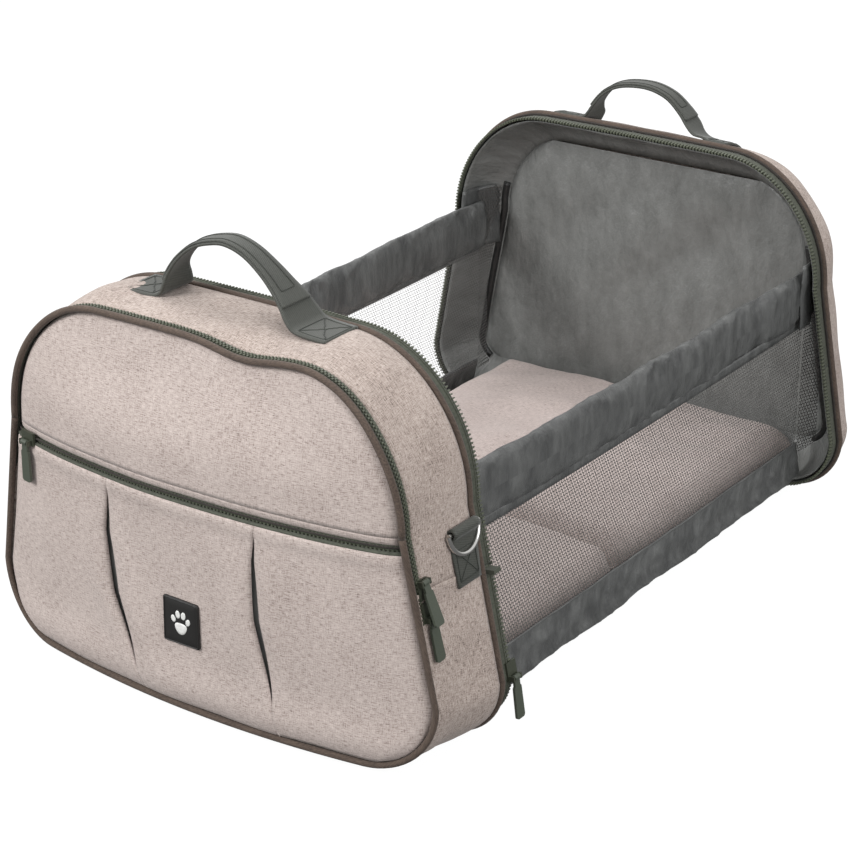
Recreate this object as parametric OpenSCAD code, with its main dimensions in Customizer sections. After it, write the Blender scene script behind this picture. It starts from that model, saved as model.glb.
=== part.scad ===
// Split-shell pet travel bag, unfolded into an open-topped bed with mesh sides.
// Millimetres. X is across, Y runs from the front shell to the rear shell, Z is up.
// Lengths along Y are first counted from the front shell's piping plane, then centred.

/* [Overall size] */
// Width across the rim piping
body_w = 416; // [380:1:460]
// Height of the shells at the rim piping
body_h = 288; // [260:1:320]
// Width across the rim piping where the top corners start
shoulder_w = 360; // [320:1:400]
// Front piping plane to front rim piping
shell_depth = 66; // [55:1:85]
// Front rim piping to rear rim piping, measured between their far faces
bed_span = 512; // [460:1:540]
// Depth of the rear shell behind its rim piping
back_depth = 50; // [40:1:70]

/* [Front panel] */
// Bulge of the front panel at its middle
bow_sag = 22; // [10:1:30]
// Height of the fold line above the pocket zip
fold_z = 184; // [170:1:200]
// Bottom edge of the pocket zip
pocket_zip_z = 172; // [160:1:180]

/* [Fabric and foam] */
// Thickness of a padded shell wall
wall_t = 4; // [3:0.5:6]
// Thickness of the mattress foam
mattress_t = 30; // [20:1:30]
// Half-width of the floor boards and mattress
floor_half_w = 148; // [130:1:150]

/* [Side rails] */
// Outer face of the side rails from the middle plane
rail_x = 168; // [160:1:174]
// Bottom edge of the top rail
rail_z0 = 151; // [140:1:160]
// Top edge of the top rail
rail_z1 = 197; // [180:1:205]
// Top edge of the bottom band
band_z1 = 39; // [30:1:50]

/* [Handles and hardware] */
// Webbing width
web_w = 38; // [30:1:40]
// Top of the handles
handle_top_z = 341; // [325:1:350]
// Inside width of the D-rings
dring_w = 31; // [25:1:35]
// Length of a zip pull
pull_l = 31; // [25:1:45]

/* [Hidden] */
wb = body_w / 2 + 2;
wt = shoulder_w / 2 + 2;
h = body_h + 2;
rb = 50;
rtx = 94;
rtz = 104;
s_front = 0;
s_pipe0 = shell_depth;
s_pipe1 = s_pipe0 + 4;
s_teeth0 = s_pipe1 + 10;
s_rpipe1 = s_pipe0 + bed_span;
s_rpipe0 = s_rpipe1 - 4;
s_teeth1 = s_rpipe0 - 10;
s_back = s_rpipe1 + back_depth;
s_div = 28;
s_lin = s_rpipe1 + 34;
bow_r = (190 * 190 + bow_sag * bow_sag) / (2 * bow_sag);
bow_c = bow_r - 30;
mid_s = (s_back - 31.6) / 2;
// straight sloping side: from (wb, rb - 2) to (wt, h - rtz)
side_z0 = rb - 2;
side_z1 = h - rtz;
lean = atan((wb - wt) / (side_z1 - side_z0));
slope = tan(lean);
s_hinge_f = 63;
s_hinge_r = s_rpipe1 + 3;
s_mid = (s_hinge_f + s_hinge_r) / 2;
z_hinge = 8.5;
z_mid = 2;
handle_s_f = 46;
handle_s_r = s_rpipe1 + 20;
rear_drop = 6;
rear_tilt = 18;
pivot_z = h - 5 + 24.5;
seam_z = 143;
slot_r = bow_r - 10.5;
tape_in = 6;
pocket_a = -10.4;
clear = 0.3;
bow_fn = 256;
// lower end of the front compartment zip, and its two sliders
comp_z0 = 121;
comp_z1 = 132;
comp_z2 = 147.6;
// D-ring tab on each side
tab_s = 50;
tab_z = 170;
// turn of the low pulls in from the slope of the side, short of the tape as they climb
low_pull_turn = 3.5;
$fn = 64;

function arc(cx, cz, rx, rz, a0, a1, n) =
    [for (i = [0:n]) [cx + rx * cos(a0 + (a1 - a0) * i / n), cz + rz * sin(a0 + (a1 - a0) * i / n)]];

// shell outline, drawn in by e
function outline(e) = concat(
    arc(wb - rb, rb - 2, rb - e, rb - e, -90, 0, 8),
    arc(wt - rtx, h - rtz, rtx - e, rtz - e, 0, 90, 12),
    arc(rtx - wt, h - rtz, rtx - e, rtz - e, 90, 180, 12),
    arc(rb - wb, rb - 2, rb - e, rb - e, 180, 270, 8));

module to_row() {
    translate([0, -mid_s, 0]) children();
}

// solid of the outline between two places along Y
module prism(e, s0, s1) {
    translate([0, s1, 0]) rotate([90, 0, 0]) linear_extrude(s1 - s0) polygon(outline(e));
}

module ring(e0, e1, s0, s1) {
    difference() {
        prism(e0, s0, s1);
        prism(e1, s0 - 1, s1 + 1);
    }
}

module box(x0, x1, s0, s1, z0, z1) {
    translate([x0, s0, z0]) cube([x1 - x0, s1 - s0, z1 - z0]);
}

module bow(r) {
    translate([0, bow_c, -20]) cylinder(r = r, h = h + 40, $fn = bow_fn);
}

// a piece of the bowed front, within x0..x1 and z0..z1
module front_piece(e, r0, r1, x0, x1, z0, z1) {
    intersection() {
        prism(e, -45, 30);
        difference() {
            bow(bow_r + r1);
            bow(bow_r + r0);
        }
        box(x0, x1, -45, 30, z0, z1);
    }
}

module front_ring(e0, e1, r0, r1, z0, z1) {
    intersection() {
        ring(e0, e1, -45, 30);
        difference() {
            bow(bow_r + r1);
            bow(bow_r + r0);
        }
        box(-300, 300, -45, 30, z0, z1);
    }
}

// frame on the sloping right side: X outward, Y along the bag, Z up the slope
module on_side(s, z) {
    translate([wb - (z - side_z0) * slope, s, z]) rotate([0, -lean, 0]) children();
}

module tube_y(r0, r1, l) {
    rotate([90, 0, 0]) difference() {
        cylinder(r = r1, h = l, center = true);
        cylinder(r = r0, h = l + 2, center = true);
    }
}

// slider straddling a slot: plates in front of and behind the tape, joined through the slot
module slider(bail_z, inner = 5, turn = 0) {
    translate([-4.5, -5.4, -7]) cube([2.2, 10.8, 14]);
    translate([-tape_in, 0, 0]) rotate([0, 0, turn]) translate([-2.6, -0.25, -6]) cube([4.2, 0.5, 12]);
    translate([-10.2, -inner, -6]) cube([1.8, inner + 5, 12]);
    translate([-2.4, 3.4, bail_z - 2]) cube([4.2, 1.5, 4]);
    translate([-2.4, -4.9, bail_z - 2]) cube([4.2, 1.5, 4]);
    translate([0, 0, bail_z]) rotate([90, 0, 0]) cylinder(r = 1, h = 8, center = true);
}

// pull hanging from its eye at the origin, eye axis along Y
module pull() {
    tube_y(1.06, 2.2, 6);
    translate([-1, -3, -6.5]) cube([2, 6, 4.8]);
    hull() {
        for (m = [-1, 1]) {
            translate([0, m * 2.4, -8]) rotate([0, 90, 0]) cylinder(r = 1.8, h = 2, center = true);
            translate([0, m * 2.5, -pull_l + 2.2]) rotate([0, 90, 0]) cylinder(r = 2.2, h = 2, center = true);
        }
    }
}

module front_gusset_top() {
    color([0.62, 0.56, 0.50]) to_row() intersection() {
        ring(5, 5 + wall_t, -45, s_pipe0);
        bow(bow_r - 18.2);
        box(-300, 300, -60, 120, seam_z, 400);
    }
}

module side_lower() {
    intersection() {
        ring(5, 5 + wall_t, -45, s_pipe0);
        bow(bow_r - 4);
        box(wb - rb, 300, -60, 120, -10, seam_z);
        difference() {
            box(0, 300, -60, 120, -10, 400);
            difference() {
                box(0, 300, -60, 120, comp_z0 - 0.3, 400);
                bow(bow_r - 18.2);
            }
        }
    }
}

module front_side_right() {
    color([0.60, 0.54, 0.48]) to_row() side_lower();
}

module front_side_left() {
    color([0.60, 0.54, 0.48]) to_row() mirror([1, 0, 0]) side_lower();
}

module front_base() {
    color([0.45, 0.43, 0.40]) to_row() intersection() {
        ring(5, 5 + wall_t, -45, s_pipe0);
        bow(bow_r - 4);
        box(rb - wb, wb - rb, -60, 120, -10, 60);
    }
}

module front_divider() {
    color([0.25, 0.25, 0.26]) to_row() prism(5 + wall_t, s_div, s_div + 4);
}

module front_panel_lower() {
    color([0.60, 0.54, 0.48]) to_row() front_piece(14, -8.8, -5.8, -300, 300, -10, pocket_zip_z);
}

module pocket_left() {
    color([0.63, 0.57, 0.51]) to_row() front_piece(10, -5, 0, -300, -71, -10, pocket_zip_z);
}

module pocket_center() {
    color([0.63, 0.57, 0.51]) to_row() front_piece(10, -5, 0, -66, 66, -10, pocket_zip_z);
}

module pocket_right() {
    color([0.63, 0.57, 0.51]) to_row() front_piece(10, -5, 0, 71, 300, -10, pocket_zip_z);
}

module pleat_left() {
    color([0.16, 0.15, 0.15]) to_row() front_piece(10, -5, -2.5, -71, -66, -10, pocket_zip_z);
}

module pleat_right() {
    color([0.16, 0.15, 0.15]) to_row() front_piece(10, -5, -2.5, 66, 71, -10, pocket_zip_z);
}

module pocket_zip() {
    color([0.33, 0.32, 0.26]) to_row() difference() {
        front_piece(10, -5, 0, -300, 300, pocket_zip_z, fold_z - clear);
        box(-160, 160, -60, 20, 176.4, 177.6);
    }
}

// frame on the pocket zip: X outward from the bow, Y along it
module on_bow(a) {
    translate([0, bow_c, 177]) rotate([0, 0, a]) translate([0, -bow_r, 0]) rotate([0, 0, -90]) children();
}

module pocket_slider() {
    color([0.36, 0.36, 0.28]) to_row() on_bow(pocket_a) {
        translate([0.6, -7, -5]) cube([2.0, 14, 10]);
        translate([-6.6, -6, -0.25]) cube([7.4, 12, 0.5]);
        translate([-8.2, -6, -3.5]) cube([1.7, 12, 7.5]);
        translate([2.4, 3.4, -4.6]) cube([4.2, 1.5, 4]);
        translate([2.4, -4.9, -4.6]) cube([4.2, 1.5, 4]);
        translate([4.8, 0, -2.6]) rotate([90, 0, 0]) cylinder(r = 1, h = 8, center = true);
    }
}

module pocket_pull() {
    color([0.40, 0.40, 0.31]) to_row() on_bow(pocket_a) translate([4.8, 0, -2.6]) pull();
}

module label_patch() {
    color([0.12, 0.12, 0.12]) to_row() front_piece(10, 0.9, 1.6, -16, 16, 65, 96);
}

module front_panel_upper() {
    color([0.63, 0.57, 0.51]) to_row() front_piece(10, -5, -1, -300, 300, fold_z, 400);
}

module front_piping_lower() {
    color([0.35, 0.25, 0.18]) to_row() front_ring(3, 10, -4, 0, -10, fold_z - clear);
}

module front_piping_upper() {
    color([0.35, 0.25, 0.18]) to_row() front_ring(3, 10, -4, 0, fold_z, 400);
}

module comp_zip_shell() {
    color([0.35, 0.34, 0.27]) to_row() intersection() {
        front_ring(5, 7.5, -17, -11.1, comp_z0, 400);
        box(-300, 300, -45, 30, comp_z0, 400);
    }
}

module comp_zip_lower() {
    color([0.35, 0.34, 0.27]) to_row() union() {
        front_ring(5, 7.5, -9.9, -4, comp_z0, fold_z - clear);
        front_ring(5, 7.5, -11.1, -8, comp_z0, comp_z0 + 2);
    }
}

module comp_zip_upper() {
    color([0.35, 0.34, 0.27]) to_row() front_ring(5, 7.5, -9.9, -4, fold_z, 400);
}

// frame riding on the slot between the two halves of the front compartment's zip
module on_slot(z) {
    x = wb - tape_in - (z - side_z0) * slope;
    s = bow_c - sqrt(slot_r * slot_r - x * x);
    drift = atan(slope * x / (bow_c - s) * cos(lean));
    on_side(s, z) rotate([drift, 0, 0]) children();
}

module comp_slider_lower() {
    color([0.36, 0.36, 0.28]) to_row() on_slot(comp_z1) slider(-5, 1.2, 13);
}

module comp_slider_upper() {
    color([0.36, 0.36, 0.28]) to_row() on_slot(comp_z2) slider(5, 1.2, 13);
}

module comp_pull_lower() {
    color([0.40, 0.40, 0.31]) to_row() on_slot(comp_z1) translate([0, 0, -5]) pull();
}

module comp_pull_upper() {
    color([0.40, 0.40, 0.31]) to_row() on_slot(comp_z2) translate([0, 0, 5]) rotate([0, -10, 0]) pull();
}

module rim_piping_front() {
    color([0.35, 0.25, 0.18]) to_row() ring(2, 9, s_pipe0, s_pipe1);
}

module main_zip_front_upper() {
    color([0.35, 0.34, 0.27]) to_row() intersection() {
        ring(5, 7.5, s_pipe1, s_teeth0);
        box(-300, 300, 0, 200, 133, 400);
    }
}

module main_zip_front_lower() {
    color([0.35, 0.34, 0.27]) to_row() intersection() {
        ring(5, 7.5, s_pipe1, s_teeth0);
        box(-300, 300, 0, 200, -10, 133);
    }
}

module zip_tab(out) {
    on_side(0, 133) translate([-4.4, s_pipe1, -1.5]) cube([4.4 + out, 8, 3]);
}

module zip_tabs() {
    color([0.38, 0.37, 0.28]) to_row() {
        zip_tab(4.5);
        mirror([1, 0, 0]) zip_tab(-2.5);
    }
}

module main_slider_right() {
    color([0.36, 0.36, 0.28]) to_row() on_side(s_teeth0 + 0.6, 57) slider(-5);
}

module main_slider_left() {
    color([0.36, 0.36, 0.28]) to_row() mirror([1, 0, 0]) on_side(s_teeth0 + 0.6, 57) slider(-5);
}

module main_slider_upper() {
    color([0.36, 0.36, 0.28]) to_row() mirror([1, 0, 0]) on_side(s_teeth0 + 0.6, 144) slider(-5);
}

module low_pull() {
    on_side(s_teeth0 + 0.6, 57) translate([0, 0, -5]) rotate([0, low_pull_turn, 0]) pull();
}

module main_pull_right() {
    color([0.40, 0.40, 0.31]) to_row() low_pull();
}

module main_pull_left() {
    color([0.40, 0.40, 0.31]) to_row() mirror([1, 0, 0]) low_pull();
}

module main_pull_upper() {
    color([0.40, 0.40, 0.31]) to_row() mirror([1, 0, 0]) {
        on_side(s_teeth0 + 0.6, 144) translate([0, 0, -5]) rotate([0, -7, 0]) pull();
    }
}

module dring_tab() {
    on_side(tab_s, tab_z) {
        translate([-4.7, -15, -38]) cube([2.4, 30, 36]);
        translate([-3.6, -14.5, -4]) cube([1.4, 29, 6]);
        translate([0.5, 0, 2]) tube_y(1.95, 4.3, 29);
    }
}

module dring_tab_right() {
    color([0.50, 0.51, 0.48]) to_row() dring_tab();
}

module dring_tab_left() {
    color([0.50, 0.51, 0.48]) to_row() mirror([1, 0, 0]) dring_tab();
}

module dring() {
    on_side(tab_s, tab_z) translate([0.5, 0, 2]) {
        rotate([90, 0, 0]) cylinder(r = 1.8, h = dring_w + 3.6, center = true);
        rotate([0, 90, 0]) rotate([0, 0, -90]) rotate_extrude(angle = 180) {
            translate([dring_w / 2 + 1.8, 0]) circle(r = 1.8);
        }
    }
}

module dring_right() {
    color([0.75, 0.76, 0.77]) to_row() dring();
}

module dring_left() {
    color([0.75, 0.76, 0.77]) to_row() mirror([1, 0, 0]) dring();
}

// sewn patch and the short standing end of the webbing beside each leg
module handle_patch(s) {
    translate([54, s - web_w / 2, h - 5]) cube([38, web_w, 2.5]);
    translate([57, s - web_w / 2, h - 5]) cube([3, web_w, pivot_z - h + 5]);
    translate([57, s, pivot_z]) rotate([0, 90, 0]) cylinder(r = web_w / 2, h = 3);
}

module handle_patches(s) {
    handle_patch(s);
    mirror([1, 0, 0]) handle_patch(s);
}

module handle_patches_front() {
    color([0.50, 0.51, 0.48]) to_row() {
        handle_patches(handle_s_f);
    }
}

// the same on the sloping top of the rear shell
module handle_patch_rear() {
    z_top = h - 5 - rear_drop + 0.2;
    z_pivot = pivot_z - rear_drop;
    s0 = handle_s_r - web_w / 2;
    translate([54, handle_s_r, z_top]) rotate([-rear_tilt, 0, 0]) translate([0, -web_w / 2, 0])
        cube([38, web_w, 2.5]);
    difference() {
        union() {
            box(57, 60, s0, s0 + web_w, z_top - 10, z_pivot);
            translate([57, handle_s_r, z_pivot]) rotate([0, 90, 0]) cylinder(r = web_w / 2, h = 3);
        }
        translate([0, handle_s_r, z_top]) rotate([-rear_tilt, 0, 0]) translate([0, -100, -60])
            cube([200, 200, 60]);
    }
}

module handle_patches_rear() {
    color([0.50, 0.51, 0.48]) to_row() {
        handle_patch_rear();
        mirror([1, 0, 0]) handle_patch_rear();
    }
}

// arched strap between the two stubs, turning about the line through them
module handle(s) {
    top = handle_top_z - pivot_z - 12;
    for (m = [0, 1]) {
        mirror([m, 0, 0]) {
            translate([53.7, s, pivot_z]) rotate([0, 90, 0]) cylinder(r = web_w / 2, h = 3);
            translate([53.7, s - web_w / 2, pivot_z]) cube([3, web_w, top]);
        }
    }
    translate([0, s + web_w / 2, pivot_z + top]) rotate([90, 0, 0]) linear_extrude(web_w) polygon(concat(
        arc(0, 0, 56.7, 12, 0, 180, 24),
        arc(0, 0, 53.7, 9, 180, 0, 24)));
}

module handle_front() {
    color([0.50, 0.51, 0.48]) to_row() handle(handle_s_f);
}

module handle_rear() {
    color([0.50, 0.51, 0.48]) to_row() translate([0, 0, -rear_drop]) handle(handle_s_r);
}

module rail(x0, x1, z0, z1) {
    box(x0, x1, s_div + 4, s_rpipe1 - 2, z0, z1);
}

module top_rail_right() {
    color([0.27, 0.27, 0.28]) to_row() rail(rail_x - 9, rail_x, rail_z0, rail_z1);
}

module top_rail_left() {
    color([0.27, 0.27, 0.28]) to_row() mirror([1, 0, 0]) rail(rail_x - 9, rail_x, rail_z0, rail_z1);
}

module mesh_right() {
    color([0.22, 0.22, 0.23]) to_row() rail(rail_x - 4, rail_x - 2.5, band_z1, rail_z0);
}

module mesh_left() {
    color([0.22, 0.22, 0.23]) to_row() mirror([1, 0, 0]) rail(rail_x - 4, rail_x - 2.5, band_z1, rail_z0);
}

module bottom_band_right() {
    color([0.27, 0.27, 0.28]) to_row() rail(rail_x - 6, rail_x - 1, z_hinge + 2, band_z1);
}

module bottom_band_left() {
    color([0.27, 0.27, 0.28]) to_row() mirror([1, 0, 0]) rail(rail_x - 6, rail_x - 1, z_hinge + 2, band_z1);
}

// plan outline of half the floor, square at its hinge and round at the middle of the bed
module half_plan(s0, s1, z0, z1) {
    r = 64;
    w = floor_half_w;
    translate([0, 0, z0]) linear_extrude(z1 - z0) polygon(concat(
        [[-w, s0], [w, s0]],
        arc(w - r, s1 - r, r, r, 0, 90, 10),
        arc(r - w, s1 - r, r, r, 90, 180, 10)));
}

module board_front() {
    half_plan(s_hinge_f, s_mid - 0.4, z_hinge - 1.2, z_hinge);
    difference() {
        half_plan(s_teeth0 + 1.6, s_mid - 0.4, z_mid, z_hinge - 1.2);
        translate([0, s_mid, 0]) rotate([-3, 0, 0]) translate([-200, 0, -50]) cube([400, 40, 50]);
    }
}

module floor_board_front() {
    color([0.30, 0.29, 0.28]) to_row() board_front();
}

module mattress_front() {
    color([0.56, 0.51, 0.47]) to_row() half_plan(s_hinge_f + 0.5, s_mid - 0.4, z_hinge, z_hinge + mattress_t);
}

// the rear half is the front half turned over end for end about the middle of the bed
module to_rear() {
    translate([0, 2 * s_mid, 0]) mirror([0, 1, 0]) children();
}

module floor_board_rear() {
    color([0.30, 0.29, 0.28]) to_row() to_rear() board_front();
}

module mattress_rear() {
    color([0.56, 0.51, 0.47]) to_row() to_rear() {
        half_plan(s_hinge_f + 0.5, s_mid - 0.4, z_hinge, z_hinge + mattress_t);
    }
}

// rounded solid of the rear shell, drawn in by d, with its base kept level
module rear_form(d, s0, s1) {
    hull() {
        prism(5 + d, s0, s0 + 0.1);
        prism(5 + rear_drop + d, handle_s_r, handle_s_r + 0.1);
        prism(18 + d, s1 - 10.1, s1 - 10);
        prism(32 + d, s1 - 0.1, s1);
        box(rb - wb, wb - rb, s0, s1 - 14, 5 + d, 6 + d);
    }
}

module rear_shell_wall() {
    difference() {
        rear_form(0, s_rpipe1, s_back);
        rear_form(wall_t, s_rpipe1 - 0.5, s_back - wall_t);
    }
}

module rear_gusset() {
    color([0.62, 0.56, 0.50]) to_row() intersection() {
        rear_shell_wall();
        difference() {
            box(-300, 300, 500, s_back - 10, -10, 400);
            box(rb - wb, wb - rb, 400, 700, -10, 40);
        }
    }
}

module rear_base() {
    color([0.45, 0.43, 0.40]) to_row() intersection() {
        rear_form(0, s_rpipe1, s_back);
        box(rb - wb, wb - rb, 500, s_back - 10, 0, 7);
    }
}

module rear_panel() {
    color([0.60, 0.54, 0.48]) to_row() intersection() {
        rear_shell_wall();
        box(-300, 300, s_back - 10, 700, -10, 400);
    }
}

// tab that holds the end of a rail, sewn back to the lining
module rail_loop() {
    x = rail_x + 0.4;
    box(x, x + 2.5, s_rpipe0 - 12, s_rpipe1, 152, 204);
    hull() {
        box(x, x + 2.2, s_rpipe1 - 0.1, s_rpipe1, 152, 204);
        box(x - 12, x - 9.5, s_lin, s_lin + 0.1, 152, 204);
    }
}

module rear_lining() {
    color([0.25, 0.25, 0.26]) to_row() {
        prism(24, s_lin, s_lin + 2.8);
        rail_loop();
        mirror([1, 0, 0]) rail_loop();
    }
}

module rim_piping_rear() {
    color([0.35, 0.25, 0.18]) to_row() ring(2, 9, s_rpipe0, s_rpipe1);
}

module main_zip_rear() {
    color([0.35, 0.34, 0.27]) to_row() ring(5, 7.5, s_teeth1, s_rpipe0);
}

module stay() {
    translate([rail_x - 14.5, s_lin - 5, 28]) cylinder(r = 3.5, h = 174);
}

module corner_stays() {
    color([0.08, 0.08, 0.08]) to_row() {
        stay();
        mirror([1, 0, 0]) stay();
    }
}

front_gusset_top();
front_side_left();
front_side_right();
front_base();
front_divider();
front_panel_lower();
pocket_left();
pocket_center();
pocket_right();
pleat_left();
pleat_right();
pocket_zip();
pocket_slider();
pocket_pull();
label_patch();
front_panel_upper();
front_piping_lower();
front_piping_upper();
comp_zip_shell();
comp_zip_lower();
comp_zip_upper();
comp_slider_lower();
comp_slider_upper();
comp_pull_lower();
comp_pull_upper();
rim_piping_front();
main_zip_front_upper();
main_zip_front_lower();
zip_tabs();
main_slider_right();
main_slider_left();
main_slider_upper();
main_pull_right();
main_pull_left();
main_pull_upper();
dring_tab_left();
dring_tab_right();
dring_left();
dring_right();
handle_patches_front();
handle_front();
top_rail_left();
top_rail_right();
mesh_left();
mesh_right();
bottom_band_left();
bottom_band_right();
floor_board_front();
mattress_front();
floor_board_rear();
mattress_rear();
rear_gusset();
rear_base();
rear_panel();
rear_lining();
rim_piping_rear();
main_zip_rear();
corner_stays();
handle_patches_rear();
handle_rear();
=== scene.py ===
"""Looks for the split-shell pet travel bag, unfolded into a bed."""
import math

import bmesh
import bpy
import numpy as np
from mathutils import Matrix, Vector


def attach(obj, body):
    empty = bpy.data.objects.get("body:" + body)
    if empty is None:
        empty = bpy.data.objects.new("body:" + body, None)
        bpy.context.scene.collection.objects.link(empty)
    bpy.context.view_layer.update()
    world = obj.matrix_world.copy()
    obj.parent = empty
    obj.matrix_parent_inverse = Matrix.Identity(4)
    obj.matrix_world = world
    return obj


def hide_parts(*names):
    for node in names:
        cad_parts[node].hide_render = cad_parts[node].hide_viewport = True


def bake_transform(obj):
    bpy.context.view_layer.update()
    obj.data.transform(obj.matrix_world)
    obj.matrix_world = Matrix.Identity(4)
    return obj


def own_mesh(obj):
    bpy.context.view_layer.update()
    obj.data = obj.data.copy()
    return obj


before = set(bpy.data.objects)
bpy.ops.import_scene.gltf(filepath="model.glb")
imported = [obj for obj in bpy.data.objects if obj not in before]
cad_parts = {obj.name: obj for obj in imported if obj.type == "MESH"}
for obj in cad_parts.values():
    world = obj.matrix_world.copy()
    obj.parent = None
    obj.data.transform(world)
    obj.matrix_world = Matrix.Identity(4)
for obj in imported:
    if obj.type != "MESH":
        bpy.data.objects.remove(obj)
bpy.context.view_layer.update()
ROOT = "front_shell"

# Lengths are millimetres. "s" runs along the bag from the front piping, and MID moves it to the frame's Y.
MID = 298.2
Y = np.array([0.0, 1.0, 0.0])
UP = np.array([0.0, 0.0, 1.0])
SIDES = {1: "right", -1: "left"}

# half-width of the shells at the foot and at the shoulder of their straight sides, with the heights of both
FOOT_HALF, SHOULDER_HALF = 210.0, 182.0
FOOT_Z, SHOULDER_Z = 48.0, 186.0
# the front is an arc, BOW_DEPTH deep over BOW_HALF to each side, with its middle at BOW_FRONT
BOW_HALF, BOW_DEPTH, BOW_FRONT = 190.0, 22.0, -30.0
BOW_R = (BOW_HALF**2 + BOW_DEPTH**2) / (2 * BOW_DEPTH)
BOW_C = BOW_R + BOW_FRONT
# s of the rim piping and zip teeth, on the front shell and on the rear shell
S_PIPE, S_TEETH = 66.0, 80.0
R_TEETH, R_PIPE = 564.0, 578.0
# heights of the flap's fold, the pocket zip, the gusset's side seam and the compartment zip's ends
FOLD_Z, ZIP_Z0, SEAM_Z, COMP_END_Z = 184.0, 172.0, 138.0, 123.0
# heights where the upper and lower runs of the rim tapes meet
FRONT_SPLIT_Z, REAR_SPLIT_Z = 133.0, 120.0
# s of the crease across the middle of the bed
S_MID = 322.0
# the soft front face has slid this far to +X: all of it FACE_FADE before FACE_END, fading to nothing there
FACE_SHIFT, FACE_END, FACE_FADE = 4.5, 22.0, 30.0
# how far the middle of the front's top edge leans back
LEAN_BACK = 20.0
TOOTH_PITCH = 3.0


def row(points):
    """Points in millimetres with s along the bag, as metres in the row frame."""
    p = np.array(points, float)
    p[..., 0] += FACE_SHIFT * np.clip((FACE_END - p[..., 1]) / FACE_FADE, 0, 1)
    p[..., 1] -= MID
    return p / 1000


def smooth_step(x, a, b):
    t = np.clip((np.asarray(x, float) - a) / (b - a), 0, 1)
    return t * t * (3 - 2 * t)


def waves(u, v, size, seed, n=10, stretch=1.0):
    """Gentle seeded unevenness, about -1 to 1, for u and v in mm and a feature size in mm."""
    rng = np.random.default_rng(seed)
    out = np.zeros(np.broadcast(u, v).shape)
    for _ in range(n):
        a = rng.uniform(0, 2 * math.pi)
        k = 2 * math.pi / (size * rng.uniform(0.7, 1.8))
        out += np.sin(k * (u * math.cos(a) + v * math.sin(a) * stretch) + rng.uniform(0, 6.28))
    return out / math.sqrt(n)


# ---------------------------------------------------------------- materials
def tree(name):
    m = bpy.data.materials.new(name)
    m.use_nodes = True
    nt = m.node_tree
    return m, nt, nt.nodes["Principled BSDF"]


def node(nt, kind, **kw):
    n = nt.nodes.new(kind)
    for k, v in kw.items():
        if k in n.inputs:
            n.inputs[k].default_value = v
        else:
            setattr(n, k, v)
    return n


def cloth_tree(name):
    m, nt, bs = tree(name)
    return m, nt, bs, node(nt, "ShaderNodeTexCoord").outputs["UV"]


def look(bs, **values):
    """Set a shader's constants, with underscores for the spaces in their names."""
    for name, value in values.items():
        bs.inputs[name.replace("_", " ")].default_value = value


def math_node(nt, op, a, b=None):
    n = nt.nodes.new("ShaderNodeMath")
    n.operation = op
    for i, x in enumerate((a, b)):
        if x is None:
            continue
        if isinstance(x, (int, float)):
            n.inputs[i].default_value = x
        else:
            nt.links.new(x, n.inputs[i])
    return n.outputs[0]


def weighed(nt, *parts):
    """The sum of outputs, each times its weight."""
    total = None
    for output, weight in parts:
        x = math_node(nt, "MULTIPLY", output, weight)
        total = x if total is None else math_node(nt, "ADD", total, x)
    return total


def noise(nt, coords, scale, detail=2.0, rough=0.5):
    mp = node(nt, "ShaderNodeMapping")
    mp.inputs["Scale"].default_value = scale
    nt.links.new(coords, mp.inputs["Vector"])
    n = node(nt, "ShaderNodeTexNoise", Scale=1.0, Detail=detail, Roughness=rough)
    nt.links.new(mp.outputs[0], n.inputs["Vector"])
    return n.outputs["Fac"]


def ramp(nt, fac, stops):
    r = nt.nodes.new("ShaderNodeValToRGB")
    e = r.color_ramp.elements
    while len(e) < len(stops):
        e.new(0.5)
    for el, (pos, col) in zip(e, stops):
        el.position = pos
        el.color = (*col, 1)
    nt.links.new(fac, r.inputs[0])
    return r.outputs[0]


def bump(nt, bsdf, height, strength, dist):
    b = node(nt, "ShaderNodeBump", Strength=strength, Distance=dist)
    nt.links.new(height, b.inputs["Height"])
    nt.links.new(b.outputs[0], bsdf.inputs["Normal"])


def srgb(r, g, b):
    return tuple(((c / 255 + 0.055) / 1.055) ** 2.4 if c > 10 else c / 255 / 12.92 for c in (r, g, b))


def heather(name, light, mid, dark, contrast=1.0):
    m, nt, bs, uv = cloth_tree(name)
    warp = noise(nt, uv, (190, 1500, 1), 3, 0.6)
    weft = noise(nt, uv, (1500, 190, 1), 3, 0.6)
    grain = noise(nt, uv, (1500, 1500, 1), 1)
    blotch = noise(nt, uv, (28, 28, 1), 2)
    total = weighed(nt, (warp, 0.44), (weft, 0.28), (grain, 0.2), (blotch, 0.08))
    w = 0.115 / contrast
    col = ramp(nt, total, [(0.5 - w, dark), (0.5 - 0.3 * w, mid), (0.5 + w, light)])
    nt.links.new(col, bs.inputs["Base Color"])
    look(bs, Roughness=0.92, Sheen_Weight=0.12, Sheen_Roughness=0.6, Specular_IOR_Level=0.2)
    bump(nt, bs, total, 0.55, 0.0006)
    return m


def woven(name, base, dark, rough=0.8, scale=(900, 250, 1)):
    m, nt, bs, uv = cloth_tree(name)
    n1 = noise(nt, uv, scale, 2)
    n2 = noise(nt, uv, (60, 60, 1), 2)
    f = weighed(nt, (n1, 0.7), (n2, 0.3))
    nt.links.new(ramp(nt, f, [(0.36, dark), (0.62, base)]), bs.inputs["Base Color"])
    look(bs, Roughness=rough, Sheen_Weight=0.1, Specular_IOR_Level=0.3)
    bump(nt, bs, n1, 0.4, 0.0005)
    return m


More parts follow.
